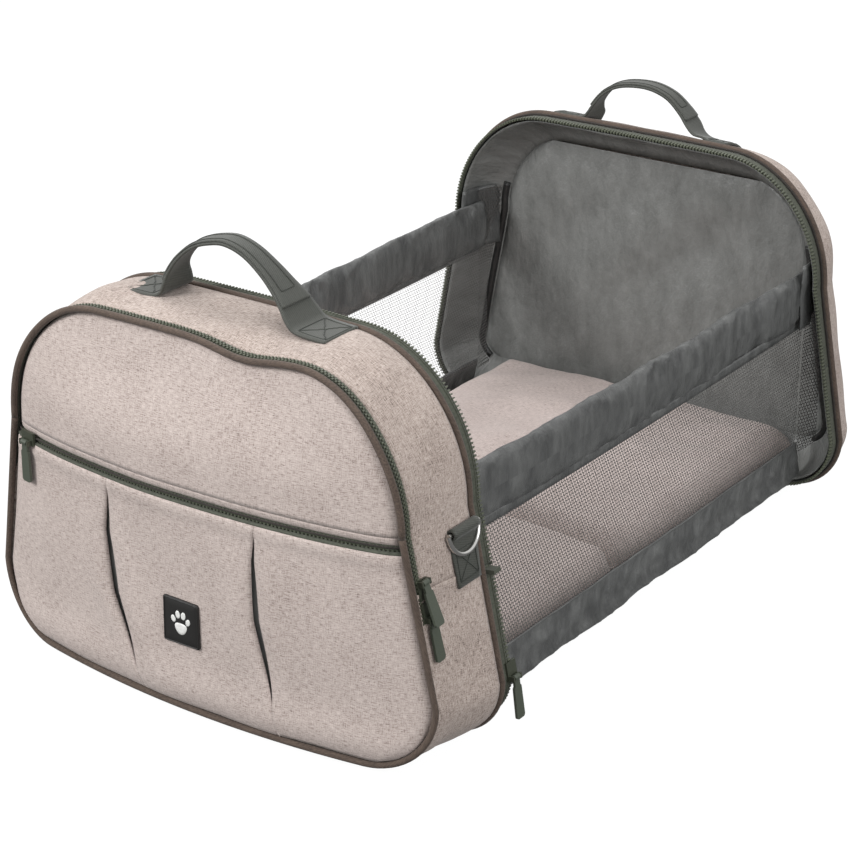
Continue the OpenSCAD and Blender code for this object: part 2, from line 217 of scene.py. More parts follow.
def twill(name, base, dark, pitch=1.3):
    """Webbing: slanted ribs."""
    m, nt, bs, uv = cloth_tree(name)
    sep = node(nt, "ShaderNodeSeparateXYZ")
    nt.links.new(uv, sep.inputs[0])
    k = 2 * math.pi / (pitch / 1000)
    phase = weighed(nt, (sep.outputs[0], k), (sep.outputs[1], k * 0.45))
    rib = math_node(nt, "ADD", math_node(nt, "MULTIPLY", math_node(nt, "SINE", phase), 0.5), 0.5)
    n = noise(nt, uv, (500, 500, 1), 2)
    f = weighed(nt, (rib, 0.45), (n, 0.55))
    nt.links.new(ramp(nt, f, [(0.2, dark), (0.75, base)]), bs.inputs["Base Color"])
    look(bs, Roughness=0.62, Sheen_Weight=0.15)
    bump(nt, bs, f, 0.5, 0.0004)
    return m


def satin_painted_crease_shade(name, base, dark, rough):
    m, nt, bs, uv = cloth_tree(name)
    fine = noise(nt, uv, (1400, 1400, 1), 1)
    crease = noise(nt, uv, (60, 28, 1), 5, 0.66)
    # painted shade and highlight in the creases: the colour runs from dark in the hollows of the crease noise
    # to base on its crests, the same noise that bumps them
    nt.links.new(ramp(nt, crease, [(0.3, dark), (0.7, base)]), bs.inputs["Base Color"])
    look(bs, Roughness=rough, Specular_IOR_Level=0.42)
    bump(nt, bs, weighed(nt, (crease, 0.9), (fine, 0.04)), 0.75, 0.005)
    return m


def plain(name, base, rough, metallic=0.0, grain=0.08):
    m, nt, bs = tree(name)
    ob = node(nt, "ShaderNodeTexCoord").outputs["Object"]
    n = noise(nt, ob, (900, 900, 900), 3)
    dark = tuple(c * (1 - grain * 2) for c in base)
    nt.links.new(ramp(nt, n, [(0.3, dark), (0.7, base)]), bs.inputs["Base Color"])
    look(bs, Roughness=rough, Metallic=metallic, Specular_IOR_Level=0.5)
    bump(nt, bs, n, 0.15, 0.0003)
    return m


def net_mat(name, col, cover, pitch=2.9):
    """Open net: round-cornered holes in a hexagonal lattice, cut out by transparency."""
    m, nt, bs, uv = cloth_tree(name)
    sep = node(nt, "ShaderNodeSeparateXYZ")
    nt.links.new(uv, sep.inputs[0])
    k = 2 * math.pi / (pitch / 1000)
    total = None
    for a in (90, 210, 330):
        kx, ky = k * math.cos(math.radians(a)), k * math.sin(math.radians(a))
        c = math_node(nt, "COSINE", weighed(nt, (sep.outputs[0], kx), (sep.outputs[1], ky)))
        total = c if total is None else math_node(nt, "ADD", total, c)
    thread = math_node(nt, "LESS_THAN", total, cover)
    nt.links.new(thread, bs.inputs["Alpha"])
    look(bs, Base_Color=(*col, 1), Roughness=0.55, Sheen_Weight=0.3)
    return m


M_FRONT = heather("heather_front", srgb(200, 188, 182), srgb(168, 155, 149), srgb(116, 102, 96))
M_SIDE = heather("heather_side", srgb(192, 179, 171), srgb(154, 140, 132), srgb(90, 76, 69), 1.15)
M_BED = heather("heather_bed", srgb(208, 195, 190), srgb(179, 165, 160), srgb(132, 117, 110), 0.95)
M_PIPE = woven("piping_brown", srgb(91, 78, 69), srgb(64, 54, 48), 0.85, (700, 700, 1))
M_DARK = woven("binding_dark", srgb(52, 47, 43), srgb(34, 31, 28), 0.85, (700, 700, 1))
M_TAPE = woven("zip_tape", srgb(80, 83, 72), srgb(58, 61, 52), 0.75, (1200, 300, 1))
M_TEETH = plain("zip_teeth", srgb(88, 92, 78), 0.42)
M_METAL = plain("zip_metal", srgb(78, 82, 70), 0.35, 0.4)
M_PULL = plain("zip_pull", srgb(72, 78, 67), 0.45)
M_NICKEL = plain("nickel", (0.62, 0.61, 0.59), 0.2, 1.0, grain=0.02)
M_WEB = twill("webbing", srgb(68, 70, 64), srgb(45, 47, 42))
# satin, lining and stay all carry painted shade in their creases
M_SATIN = satin_painted_crease_shade("satin", srgb(104, 105, 104), srgb(66, 67, 67), 0.3)
M_LINING = satin_painted_crease_shade("lining", srgb(122, 123, 121), srgb(98, 99, 97), 0.38)
M_NET = net_mat("net", srgb(74, 72, 70), -0.62)
# a lighter copy of the net's thread colour for the far side: painted light where that net shows lit against
# the backdrop
M_NET_FAR_PAINTED_LIGHT = net_mat("net_far_painted_light", srgb(122, 121, 119), -1.05)
M_BASE = woven("base_cloth", srgb(62, 60, 58), srgb(44, 43, 41), 0.7)
M_LABEL = plain("label_rubber", srgb(30, 29, 28), 0.5)
M_WHITE = plain("label_white", srgb(222, 222, 219), 0.6)
M_THREAD = woven("thread", srgb(60, 63, 58), srgb(42, 44, 40), 0.7, (2000, 2000, 1))
M_STAY = satin_painted_crease_shade("stay", srgb(44, 44, 43), srgb(26, 26, 26), 0.3)


# ---------------------------------------------------------------- meshes
def finish_mesh(name, verts, faces, mat, uvs=None, smooth=True):
    me = bpy.data.meshes.new(name)
    me.from_pydata([tuple(map(float, v)) for v in verts], [], [tuple(map(int, f)) for f in faces])
    if uvs is not None:
        layer = me.uv_layers.new(name="UVMap")
        idx = np.empty(len(me.loops), int)
        me.loops.foreach_get("vertex_index", idx)
        layer.data.foreach_set("uv", np.asarray(uvs, float)[idx].ravel())
    me.materials.append(mat)
    if smooth:
        me.shade_smooth()
    me.update()
    ob = bpy.data.objects.new(name, me)
    bpy.context.scene.collection.objects.link(ob)
    return ob


def bake_modifiers(ob):
    bpy.context.view_layer.update()
    deps = bpy.context.evaluated_depsgraph_get()
    me = bpy.data.meshes.new_from_object(ob.evaluated_get(deps))
    ob.modifiers.clear()
    ob.data = me
    return ob


def place(ob, body, replaces=()):
    if body:
        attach(ob, body)
    if replaces:
        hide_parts(*([replaces] if isinstance(replaces, str) else replaces))
    return ob


def lengths(p, axis):
    d = np.linalg.norm(np.diff(p, axis=axis), axis=2)
    c = np.cumsum(d, axis=axis)
    pad = np.zeros_like(np.take(c, [0], axis=axis))
    return np.concatenate([pad, c], axis=axis)


def sheet_mesh(name, p, mat, thick=0.0, offset=-1.0, flip=False, uv=None):
    """A grid of points (rows, columns, 3) in mm as a surface with UVs in metres, optionally thickened."""
    n, m = p.shape[:2]
    i, j = np.meshgrid(np.arange(n - 1), np.arange(m - 1), indexing="ij")
    a = (i * m + j).ravel()
    f = np.stack([a, a + 1, a + m + 1, a + m], 1)
    if flip:
        f = f[:, ::-1]
    if uv is None:
        uv = np.stack([lengths(p, 1), lengths(p, 0)], 2)
    ob = finish_mesh(name, row(p).reshape(-1, 3), f, mat, uv.reshape(-1, 2) / 1000)
    if thick:
        mod = ob.modifiers.new("thick", "SOLIDIFY")
        mod.thickness = thick / 1000
        mod.offset = offset
        mod.use_even_offset = False
        bake_modifiers(ob)
    return ob


def frames(path, closed, up=None):
    """Tangent, normal and binormal along a path: carried on without twist, or kept to one up direction."""
    t = np.roll(path, -1, 0) - np.roll(path, 1, 0) if closed else np.gradient(path, axis=0)
    t /= np.linalg.norm(t, axis=1)[:, None]
    if up is None:
        n = np.zeros_like(t)
        v = np.cross(t[0], [0.31, 0.2, 0.93])
        for k in range(len(t)):
            v = v - t[k] * (v @ t[k])
            v /= np.linalg.norm(v)
            n[k] = v
    else:
        n = np.broadcast_to(up, t.shape) - t * np.sum(t * up, 1)[:, None]
        n /= np.linalg.norm(n, axis=1)[:, None]
    return t, n, np.cross(t, n)


def tube(name, path, r, mat, closed=False, k=10):
    """A round cord of radius r along the path, with k sides."""
    path = np.asarray(path, float)
    _, n, b = frames(path, closed)
    a = np.linspace(0, 2 * math.pi, k + 1)[None, :, None]
    p = path[:, None] + r * (np.cos(a) * n[:, None] + np.sin(a) * b[:, None])
    if closed:
        p = np.concatenate([p, p[:1]])
    ob = sheet_mesh(name, p, mat)
    weld(ob, 1e-6)
    if not closed:
        cap_ends(ob)
    return ob


def mend(ob, change):
    """Change a mesh through bmesh and turn its normals outwards."""
    bm = bmesh.new()
    bm.from_mesh(ob.data)
    change(bm)
    bmesh.ops.recalc_face_normals(bm, faces=bm.faces)
    bm.to_mesh(ob.data)
    bm.free()


def weld(ob, dist):
    mend(ob, lambda bm: bmesh.ops.remove_doubles(bm, verts=bm.verts, dist=dist))
    ob.data.shade_smooth()


def cap_ends(ob):
    mend(ob, lambda bm: bmesh.ops.holes_fill(bm, edges=[e for e in bm.edges if e.is_boundary], sides=0))


def blocks(name, centres, ax, ay, az, half, mat, taper=0.7):
    """Many small tapered blocks in one mesh: half-sizes along each item's own three directions."""
    c = np.asarray(centres, float)
    verts, faces = [], []
    square = [(-1, -1), (1, -1), (1, 1), (-1, 1)]
    corners = [(x, y, z) for z in (-1, 1) for x, y in square]
    quads = [(0, 3, 2, 1), (4, 5, 6, 7), (0, 1, 5, 4), (1, 2, 6, 5), (2, 3, 7, 6), (3, 0, 4, 7)]
    for q in range(len(c)):
        for x, y, z in corners:
            f = taper if y > 0 else 1.0
            wide, deep = ax[q] * half[0] * x * f, ay[q] * half[1] * y
            verts.append(c[q] + wide + deep + az[q] * half[2] * z * f)
        faces += [tuple(8 * q + v for v in quad) for quad in quads]
    return finish_mesh(name, row(np.array(verts)), faces, mat, smooth=False)


def join(name, obs):
    first = obs[0]
    with bpy.context.temp_override(active_object=first, selected_editable_objects=obs, object=first):
        bpy.ops.object.join()
    first.name = name
    return first


def resample(path, step, closed=False):
    """Even points along a path, about one step apart."""
    path = np.asarray(path, float)
    if closed:
        path = np.concatenate([path, path[:1]])
    d = np.concatenate([[0], np.cumsum(np.linalg.norm(np.diff(path, axis=0), axis=1))])
    n = max(2, int(round(d[-1] / step)))
    t = np.linspace(0, d[-1], n + 1)
    out = np.stack([np.interp(t, d, path[:, k]) for k in range(3)], 1)
    return out[:-1] if closed else out


# ---------------------------------------------------------------- outlines
def outline(wb, wt, z0, z1, rb, rtx, rtz, crown=3.0, n=(16, 16, 30, 30, 22)):
    """Shell outline from the middle of the base round by +X to the top and back.

    wb and wt are its half-widths at the base corners and the shoulders, z0 and z1 its lowest and highest z,
    rb the base corners' radius, rtx and rtz the shoulders' half-axes. An index is one place on every outline.
    """
    def arc(cx, cz, rx, rz, a0, a1, k):
        a = np.radians(np.linspace(a0, a1, k + 1))[:-1]
        return np.stack([cx + rx * np.cos(a), cz + rz * np.sin(a)], 1)

    def line(a, b, k):
        t = np.linspace(0, 1, k + 1)[:-1, None]
        return np.array(a) * (1 - t) + np.array(b) * t

    half = np.concatenate([
        line((0, z0), (wb - rb, z0), n[0]), arc(wb - rb, z0 + rb, rb, rb, -90, 0, n[1]),
        line((wb, z0 + rb), (wt, z1 - rtz), n[2]), arc(wt - rtx, z1 - rtz, rtx, rtz, 0, 90, n[3]),
        line((wt - rtx, z1), (0, z1), n[4] // 2 * 2), [(0, z1)]])
    half[:, 1] += crown * np.clip(1 - (half[:, 0] / wt) ** 2, 0, 1) * smooth_step(half[:, 1], z1 - 60, z1)
    other = half[1:-1][::-1] * [-1, 1]
    return np.concatenate([half, other])


def tangents(o):
    t = np.roll(o, -1, 0) - np.roll(o, 1, 0)
    return t / np.linalg.norm(t, axis=1)[:, None]


def drawn_in(o, e):
    """The outline moved inwards by e along its normals."""
    t = tangents(o)
    return o + e * np.stack([-t[:, 1], t[:, 0]], 1)


def normals_out(o):
    t = tangents(o)
    return np.stack([t[:, 1], np.zeros(len(t)), -t[:, 0]], 1)


RIM = outline(207, 179, 3, 286.5, 50, 94, 104)
FRONT_FLAT = outline(197.5, 174, 11, 284, 52, 84, 98, crown=0)


def top_line(x, z):
    """How far the front's top edge is lifted by its crown and let down where its seam sags."""
    crown = 3.0 * np.clip(1 - (x / 174) ** 2, 0, 1) * smooth_step(z, 224, 284)
    return crown - 6.5 * np.exp(-(((x - 42) / 30) ** 2)) * smooth_step(z, 235, 280)


FRONT = FRONT_FLAT + np.stack([0 * FRONT_FLAT[:, 0], top_line(FRONT_FLAT[:, 0], FRONT_FLAT[:, 1])], 1)
REAR_RIM = outline(207, 183, 3, 286.5, 50, 92, 102)


def bow(x):
    return BOW_C - np.sqrt(BOW_R**2 - np.asarray(x, float) ** 2)


def face(x, z):
    """s of the front: the bow, with its soft top edge leaning back in the middle."""
    x = np.asarray(x, float)
    return bow(x) + LEAN_BACK * smooth_step(z, 200, 284) * np.clip(1 - (x / 176) ** 2, 0, 1)


def lift(o, s):
    s = np.broadcast_to(s, len(o))
    return np.stack([o[:, 0], s, o[:, 1]], 1)


def on_sides(o, z):
    """Indices of the outline points nearest height z on the right side and on the left side."""
    off = np.abs(o[:, 1] - z)
    return tuple(int(np.argmin(np.where(side * o[:, 0] > 100, off, 1e9))) for side in (1, -1))


# ---------------------------------------------------------------- front shell
FRONT_EDGE = lift(FRONT, face(FRONT[:, 0], FRONT[:, 1]) + 1)
RIM_EDGE = lift(RIM, S_PIPE - 2)
N_FRONT, N_RIM = normals_out(FRONT), normals_out(RIM)
STEPS = np.linalg.norm(np.diff(np.vstack([RIM, RIM[:1]]), axis=0), axis=1)
AROUND = np.concatenate([[0], np.cumsum(STEPS)])


def gusset_grid(idx, d0, rows=22, puff=2.6, seed=3):
    """Rows from the front edge (d0 mm behind the piping) to the rim, for the outline indices idx."""
    idx = np.asarray(idx) % len(RIM)
    a, b = FRONT_EDGE[idx].copy(), RIM_EDGE[idx]
    depth = np.linalg.norm(b - a, axis=1)
    a = a + (b - a) * (d0 / depth)[:, None]
    v = np.linspace(0, 1, rows)[:, None, None]
    n = (N_FRONT[idx] + N_RIM[idx]) / 2
    p = a[None] + (b - a)[None] * v
    u_mm = AROUND[idx][None, :]
    s_mm = p[:, :, 1]
    w = puff * np.sin(math.pi * np.clip(v[:, :, 0], 0, 1)) ** 0.6
    w = w + 0.9 * waves(u_mm, s_mm, 70, seed) * np.sin(math.pi * v[:, :, 0])
    w = w + 0.35 * waves(u_mm, s_mm, 18, seed + 1, stretch=0.6) * np.sin(math.pi * v[:, :, 0])
    p = p + n[None] * w[:, :, None]
    uv = np.stack([np.broadcast_to(u_mm, w.shape), s_mm], 2)
    return p, uv


count = len(RIM)
seam_r, seam_l = on_sides(RIM, SEAM_Z)
base_r = int(np.argmax(RIM[:, 0] * (RIM[:, 1] < 4)))
base_l = count - base_r
p, uv = gusset_grid(range(seam_r, seam_l + 1), 10.5)
place(sheet_mesh("gusset_top", p, M_SIDE, 2.2, -1, True, uv), ROOT, "front_gusset_top")
# the seamed edge of each lower side stands 1 mm proud of the top gusset
for tag, run, edge, seam in (("right", range(base_r, seam_r + 1), -1, seam_r),
                             ("left", range(seam_l, base_l + 1), 0, seam_l)):
    p, uv = gusset_grid(run, 2)
    p[:, edge] += N_RIM[seam]
    cloth = sheet_mesh(f"side_lower_{tag}", p, M_SIDE, 2.6, -1, True, uv)
    place(cloth, ROOT, f"front_side_{tag}")
p, uv = gusset_grid(range(base_l, base_r + count + 1), 2, puff=0.0)
p[:, :, 2] = np.maximum(p[:, :, 2], 1.2)
place(sheet_mesh("base_front", p, M_BASE, 1.6, -1, True, uv), ROOT, "front_base")


def half_width(o, z):
    """Half the outline's width at heights z."""
    right = o[: len(o) // 2 + 1]
    return np.interp(z, right[:, 1] + np.arange(len(right)) * 1e-6, right[:, 0])


PANEL = drawn_in(FRONT_FLAT, 1.5)
# heights of the pocket's upper edge, of the flap's hem and of the flap's top edge
POCKET_TOP, HEM_Z, FLAP_TOP = 173.0, 178.0, 282.2


def panel_surface(x, z):
    """s of the padded front at x and z: the bow, a little padding, and a rolled edge."""
    edge = np.minimum(half_width(PANEL, z) - np.abs(x), np.minimum(z - 10, 284 - z))
    roll = 4.5 * np.exp(-np.clip(edge, 0, None) / 5.0)
    puff = 3.2 * (1 - np.exp(-np.clip(edge, 0, None) / 28.0))
    return face(x, z) + roll - puff + 1.5 + 0.8 * waves(x, z, 95, 11)


def panel_grid(z, xa, xb, cols):
    """Rows at heights z, with x from xa(z) to xb(z)."""
    t = np.linspace(0, 1, cols)[None, :]
    x = xa[:, None] * (1 - t) + xb[:, None] * t
    zz = np.broadcast_to(z[:, None], x.shape).copy()
    return x, zz


def panel_cloth(name, x, s, z, lifted=0.0, body=ROOT, cad=()):
    """A piece of the front's cloth, with its weave along x and z."""
    ob = sheet_mesh(name, np.stack([x, s, z + lifted], 2), M_FRONT, 2.0, uv=np.stack([x, z], 2))
    place(ob, body, cad)


# upper panel (the flap), and under it the strip it folds from
z = np.linspace(HEM_Z, FOLD_Z + 0.3, 6)
x, zz = panel_grid(z, 2.5 - half_width(PANEL, z), half_width(PANEL, z) - 2.5, 90)
s = panel_surface(x, zz) + 2.4 * np.exp(-(zz - HEM_Z) / 2.2)
panel_cloth("flap_root", x, s, zz)
z = FLAP_TOP - (FLAP_TOP - FOLD_Z - 0.5) * np.linspace(0, 1, 44) ** 1.5
z = z[::-1]
hw = half_width(PANEL, z)
x, zz = panel_grid(z, -hw, hw, 90)
panel_cloth("panel_upper", x, panel_surface(x, zz), zz, top_line(x, zz), "front_flap", "front_panel_upper")

# pocket, in three panels parted by two slanting pleats
z = np.linspace(11.6, POCKET_TOP, 60)
hw = half_width(PANEL, z)
PL = np.interp(z, [11, 33, 84, 130, 173], [-39, -46, -66, -72, -67])
PR = np.interp(z, [11, 41, 100, 145, 173], [80, 76, 64, 63, 66])
# how far each pleat is open, most in its middle
WIDE_PLEAT, NARROW_PLEAT = 5.2, 4.6
GAP_L = WIDE_PLEAT * np.sin(math.pi * np.clip((z - 30) / (166 - 30), 0, 1)) ** 0.8
GAP_R = NARROW_PLEAT * np.sin(math.pi * np.clip((z - 36) / (168 - 36), 0, 1)) ** 0.8


def pocket_piece(name, xa, xb, cols, rolls, cad):
    """Pocket cloth from xa to xb; rolls holds each pleated edge's x, opening and direction."""
    x, zz = panel_grid(z, xa, xb, cols)
    s = panel_surface(x, zz) - 1.4 - 3.5 * np.exp(-((zz - 26) / 18) ** 2)
    for x0, gap, sign in rolls:
        d = np.clip((x - x0[:, None]) * sign, 0, None)
        roll = 2.6 * np.exp(-d / 3.0) - 2.4 * np.exp(-(((d - 12) / 11) ** 2))
        s = s + (gap[:, None] > 0.2) * roll * (gap / WIDE_PLEAT)[:, None]
    s = s - 1.2 * np.exp(-(((zz - ZIP_Z0 + 4) / 5) ** 2))
    panel_cloth(name, x, s, zz, cad=cad)


left_a, left_b = PL - GAP_L / 2, PL + GAP_L / 2
right_a, right_b = PR - GAP_R / 2, PR + GAP_R / 2
pocket_piece("pocket_left_panel", -hw, left_a, 40, [(left_a, GAP_L, -1)], "pocket_left")
pocket_piece("pocket_center_panel", left_b, right_a, 50, [(left_b, GAP_L, 1), (right_a, GAP_R, -1)],
             "pocket_center")
pocket_piece("pocket_right_panel", right_b, hw, 44, [(right_b, GAP_R, 1)], "pocket_right")
for name, mid_x, cad in (("pleat_lining_left", PL, "pleat_left"), ("pleat_lining_right", PR, "pleat_right")):
    x, zz = panel_grid(z, mid_x - 9, mid_x + 9, 9)
    p = np.stack([x, panel_surface(x, zz) + 3.4, zz], 2)
    place(sheet_mesh(name, p, M_LINING, 0.8, -1, False), ROOT, cad)
x, zz = panel_grid(z, -hw + 6, hw - 6, 40)
backing = sheet_mesh("panel_backing", np.stack([x, bow(x) + 8, zz], 2), M_LINING, 1.5, -1, False)
place(backing, ROOT, "front_panel_lower")


# ---------------------------------------------------------------- zips
def moved_on(points, phase):
    """The points moved towards the next one by a share of the pitch, so that two rows of teeth mesh."""
    return points[:-1] + np.diff(points, axis=0) * phase if phase else points


def teeth(name, points, toward, half, reach=0.0, up=Y):
    """A zip tooth at each point, pointing toward the other row and moved that way by reach."""
    t, _, _ = frames(points, False, up)
    d = np.broadcast_to(toward, points.shape)
    d = d - t * np.sum(t * d, 1)[:, None]
    d = d / np.linalg.norm(d, axis=1)[:, None]
    return blocks(name, points + d * reach, t, d, np.cross(t, d), half, M_TEETH)


def outline_run(o, i0, i1):
    return o[np.arange(i0, i1 + 1) % len(o)]


def rim_set(tag, body, o, sgn, s_pipe, s_teeth, split_z, nodes, phase):
    """Half of the main zip: piping and dark flange, then tape, bead and teeth towards the other shell."""
    inner = drawn_in(o, 2.6)
    split_r, split_l = on_sides(o, split_z)
    pipe = tube(f"rim_piping_{tag}", lift(drawn_in(o, 0.4), s_pipe), 2.5, M_PIPE, True, 10)
    place(pipe, body, nodes[0])
    line = tube(f"rim_flange_{tag}", lift(drawn_in(o, 1.0), s_pipe + sgn * 3.2), 1.0, M_DARK, True, 8)
    place(line, body)
    runs = ("upper", (split_r, split_l), nodes[1]), ("lower", (split_l, split_r + count), nodes[2])
    for part, run, cad in runs:
        oo = outline_run(inner, *run)
        rows = np.linspace(s_pipe + sgn * 2.5, s_teeth, 5)
        p = np.stack([lift(oo, v) for v in rows])
        place(sheet_mesh(f"zip_tape_{tag}_{part}", p, M_TAPE, 1.2, 0, sgn > 0), body, cad)
        edge = resample(lift(outline_run(drawn_in(o, 2.3), *run), s_teeth - sgn * 0.8), TOOTH_PITCH)
        ob = teeth(f"zip_teeth_{tag}_{part}", moved_on(edge, phase), Y * sgn, (0.75, 1.7, 1.15), 1.02)
        place(ob, body)
        bead = lift(outline_run(drawn_in(o, 2.0), *run), s_teeth - sgn * 2.6)
        place(tube(f"zip_bead_{tag}_{part}", bead, 0.75, M_TAPE, False, 6), body)


rim_set("front", ROOT, RIM, 1, S_PIPE + 1, S_TEETH, FRONT_SPLIT_Z,
        ["rim_piping_front", "main_zip_front_upper", "main_zip_front_lower"], 0.0)
rim_set("rear", "rear_shell", REAR_RIM, -1, R_PIPE - 1, R_TEETH, REAR_SPLIT_Z,
        ["rim_piping_rear", "main_zip_rear", ()], 0.5)

# front panel piping and the compartment zip behind it
fold_r, fold_l = on_sides(FRONT, FOLD_Z)
end_r, end_l = on_sides(FRONT, COMP_END_Z)


def front_line(e, run, behind):
    """A run of the front's outline, drawn in by e, on the front's face and moved behind it."""
    o = outline_run(drawn_in(FRONT, e), *run)
    return lift(o, face(o[:, 0], o[:, 1]) + behind)


for part, run, body in (("upper", (fold_r, fold_l), "front_flap"), ("lower", (fold_l, fold_r + count), ROOT)):
    cord = tube(f"front_piping_{part}_cord", front_line(-0.6, run, 0.6), 2.5, M_PIPE, False, 12)
    place(cord, body, f"front_piping_{part}")
    flange = tube(f"front_flange_{part}", front_line(-0.4, run, 3.6), 0.8, M_DARK, False, 8)
    place(flange, body)


def comp_tape(name, run, d0, d1, body, cad, tooth_side):
    """Tape of the compartment zip, from d0 to d1 mm behind the front's edge, with teeth on one side."""
    idx = np.arange(run[0], run[1] + 1) % count
    a, b = FRONT_EDGE[idx], RIM_EDGE[idx]
    n = N_FRONT[idx]
    dirs = (b - a) / np.linalg.norm(b - a, axis=1)[:, None]
    rows = [a + dirs * d - n * 0.6 for d in np.linspace(d0, d1, 4)]
    place(sheet_mesh(name, np.stack(rows), M_TAPE, 1.0, 0, True), body, cad)
    td = d1 if tooth_side > 0 else d0
    pts = a + dirs * (td - 1.0 * tooth_side) + n * 0.3
    even = resample(pts, TOOTH_PITCH)
    near = np.array([np.argmin(np.linalg.norm(pts - q, axis=1)) for q in even])
    places = moved_on(even, 0.5 if tooth_side < 0 else 0.0)
    toward = dirs[near[: len(places)]] * tooth_side
    place(teeth(name + "_teeth", places, toward, (0.75, 1.2, 1.1)), body)


SHELL_TAPE, FLAP_TAPE = (6.9, 10.9), (2.6, 6.6)
comp_tape("comp_tape_shell", (end_r, end_l), *SHELL_TAPE, ROOT, "comp_zip_shell", -1)
comp_tape("comp_tape_flap", (fold_r, fold_l), *FLAP_TAPE, "front_flap", "comp_zip_upper", 1)
comp_tape("comp_tape_low_r", (end_r, fold_r), *FLAP_TAPE, ROOT, "comp_zip_lower", 1)
comp_tape("comp_tape_low_l", (fold_l, end_l), *FLAP_TAPE, ROOT, (), 1)

# pocket zip
xs = np.linspace(-176, 176, 100)
for name, z0, z1 in (("pocket_tape_low", 170.5, 175.6), ("pocket_tape_high", 176.0, 181.5)):
    zz = np.linspace(z0, z1, 4)
    X, Z = np.meshgrid(xs, zz)
    p = np.stack([X, panel_surface(X, Z) + 2.6, Z], 2)
    place(sheet_mesh(name, p, M_TAPE, 1.0, 0, False), ROOT, "pocket_zip" if z0 < 172 else ())
for tag, sgn, zc, phase in (("low", 1, 175.2, 0.0), ("high", -1, 176.6, 0.5)):
    zz = np.full_like(xs, zc)
    even = resample(np.stack([xs, panel_surface(xs, zz) + 1.9, zz], 1), TOOTH_PITCH)
    ob = teeth(f"pocket_teeth_{tag}", moved_on(even, phase), UP * sgn, (0.75, 1.2, 1.0), up=UP)
    place(ob, ROOT)
# the flap's hem is a thin cord in the dark binding colour: a real edge, with its darkness painted shade of
# the slit under the flap
for name, zc, r, mat in (("pocket_binding", POCKET_TOP + 0.4, 1.5, M_TAPE),
                         ("flap_hem_painted_shade", HEM_Z - 0.1, 0.7, M_DARK)):
    zz = np.full_like(xs, zc)
    place(tube(name, np.stack([xs, panel_surface(xs, zz) - 0.3, zz], 1), r, mat, False, 8), ROOT)

# rubber label with a raised rim and a paw print: its middle and half-sizes
LX, LZ, LW, LH = -0.5, 81.0, 16.0, 17.5
# the paw's pads: x and z from the middle, both half-axes and tilt in degrees
PADS = [(0, -4.2, 5.4, 4.4, 0), (-6.6, 1.6, 1.9, 2.7, 20), (-2.5, 5.6, 2.0, 3.0, 6), (2.5, 5.6, 2.0, 3.0, -6),
        (6.6, 1.6, 1.9, 2.7, -20)]


def label_point(x, z, out):
    return np.stack([x, panel_surface(x, z) - 2.3 - out, z], -1)


def rounded(x0, z0, w, h, r, k=8):
    pts = []
    for cx, cz, a0 in ((w - r, h - r, 0), (r - w, h - r, 90), (r - w, r - h, 180), (w - r, r - h, 270)):
        for a in np.radians(np.linspace(a0, a0 + 90, k)):
            pts.append((x0 + cx + r * math.cos(a), z0 + cz + r * math.sin(a)))
    return np.array(pts)


def plaque(name, pts, centre, out0, out1, mat):
    """A low raised patch on the padded front, from a closed outline around its centre."""
    rings = []
    for k, o in ((1.0, out0), (1.0, out1 - 0.15), (0.985, out1), (0.6, out1), (0.2, out1), (0.01, out1)):
        q = np.array(centre) + (pts - centre) * k
        rings.append(label_point(q[:, 0], q[:, 1], o))
    g = np.stack(rings)
    g = np.concatenate([g, g[:, :1]], 1)
    ob = sheet_mesh(name, g, mat, uv=np.stack([g[:, :, 0], g[:, :, 2]], 2))
    weld(ob, 5e-6)
    cap_ends(ob)
    return place(ob, ROOT)


place(plaque("label", rounded(LX, LZ, LW, LH, 1.6), (LX, LZ), -1.5, 0.9, M_LABEL), None, "label_patch")
rim_pts = resample(np.array([[x, 0, z] for x, z in rounded(LX, LZ, LW - 0.8, LH - 0.8, 1.4)]), 1.2, True)
place(tube("label_rim", label_point(rim_pts[:, 0], rim_pts[:, 2], 0.9), 0.5, M_LABEL, True, 6), ROOT)
th = np.linspace(0, 2 * math.pi, 29)[:-1]
for k, (cx, cz, rx, rz, tilt) in enumerate(PADS):
    c, sn = math.cos(math.radians(tilt)), math.sin(math.radians(tilt))
    ex, ez = rx * np.cos(th), rz * np.sin(th) + (0.9 * np.cos(2 * th) if k == 0 else 0)
    pts = np.stack([LX + cx + c * ex - sn * ez, LZ + cz + sn * ex + c * ez], 1)
    plaque(f"paw_{k}", pts, (LX + cx, LZ + cz), 0.5, 1.25, M_WHITE)

# ---------------------------------------------------------------- rear shell
def loft(o, rows):
    """A closed skin through the outline, drawn in by e at s for each (s, e) in rows."""
    p = np.stack([lift(drawn_in(o, e), s) for s, e in rows])
    return np.concatenate([p, p[:, :1]], 1)


REAR = outline(206, 184, 4, 285.5, 50, 92, 102)
# place along the bag and how far the rear shell is drawn in there
REAR_ROWS = [(R_PIPE + 1, 0.4), (583, 0.8), (589, 1.6), (596, 3.2), (603, 5.8), (610, 9.8), (616, 15.0),
             (621, 22.5), (625, 34.0)]


def rear_top(x, s):
    """Height of the rear shell's top at x and s."""
    at, drop = zip(*REAR_ROWS)
    return 285.5 + 3.0 * (1 - (x / 184) ** 2) - np.interp(s, at, drop)


p = loft(REAR, REAR_ROWS)
wob = 1.1 * waves(np.broadcast_to(AROUND, p.shape[:2]), p[:, :, 1], 60, 91)
nn = normals_out(REAR)
nn = np.concatenate([nn, nn[:1]])
wob[:, -1] = wob[:, 0]
wob[:2] = 0
p = p + nn[None] * np.minimum(wob, 1.0)[:, :, None]
p[:, :, 2] = np.maximum(p[:, :, 2], 1.0)
uv = np.stack([np.broadcast_to(AROUND, p.shape[:2]), p[:, :, 1]], 2)
cloth = sheet_mesh("rear_gusset_cloth", p, M_SIDE, 2.2, -1, True, uv)
place(cloth, "rear_shell", ["rear_gusset", "rear_base"])


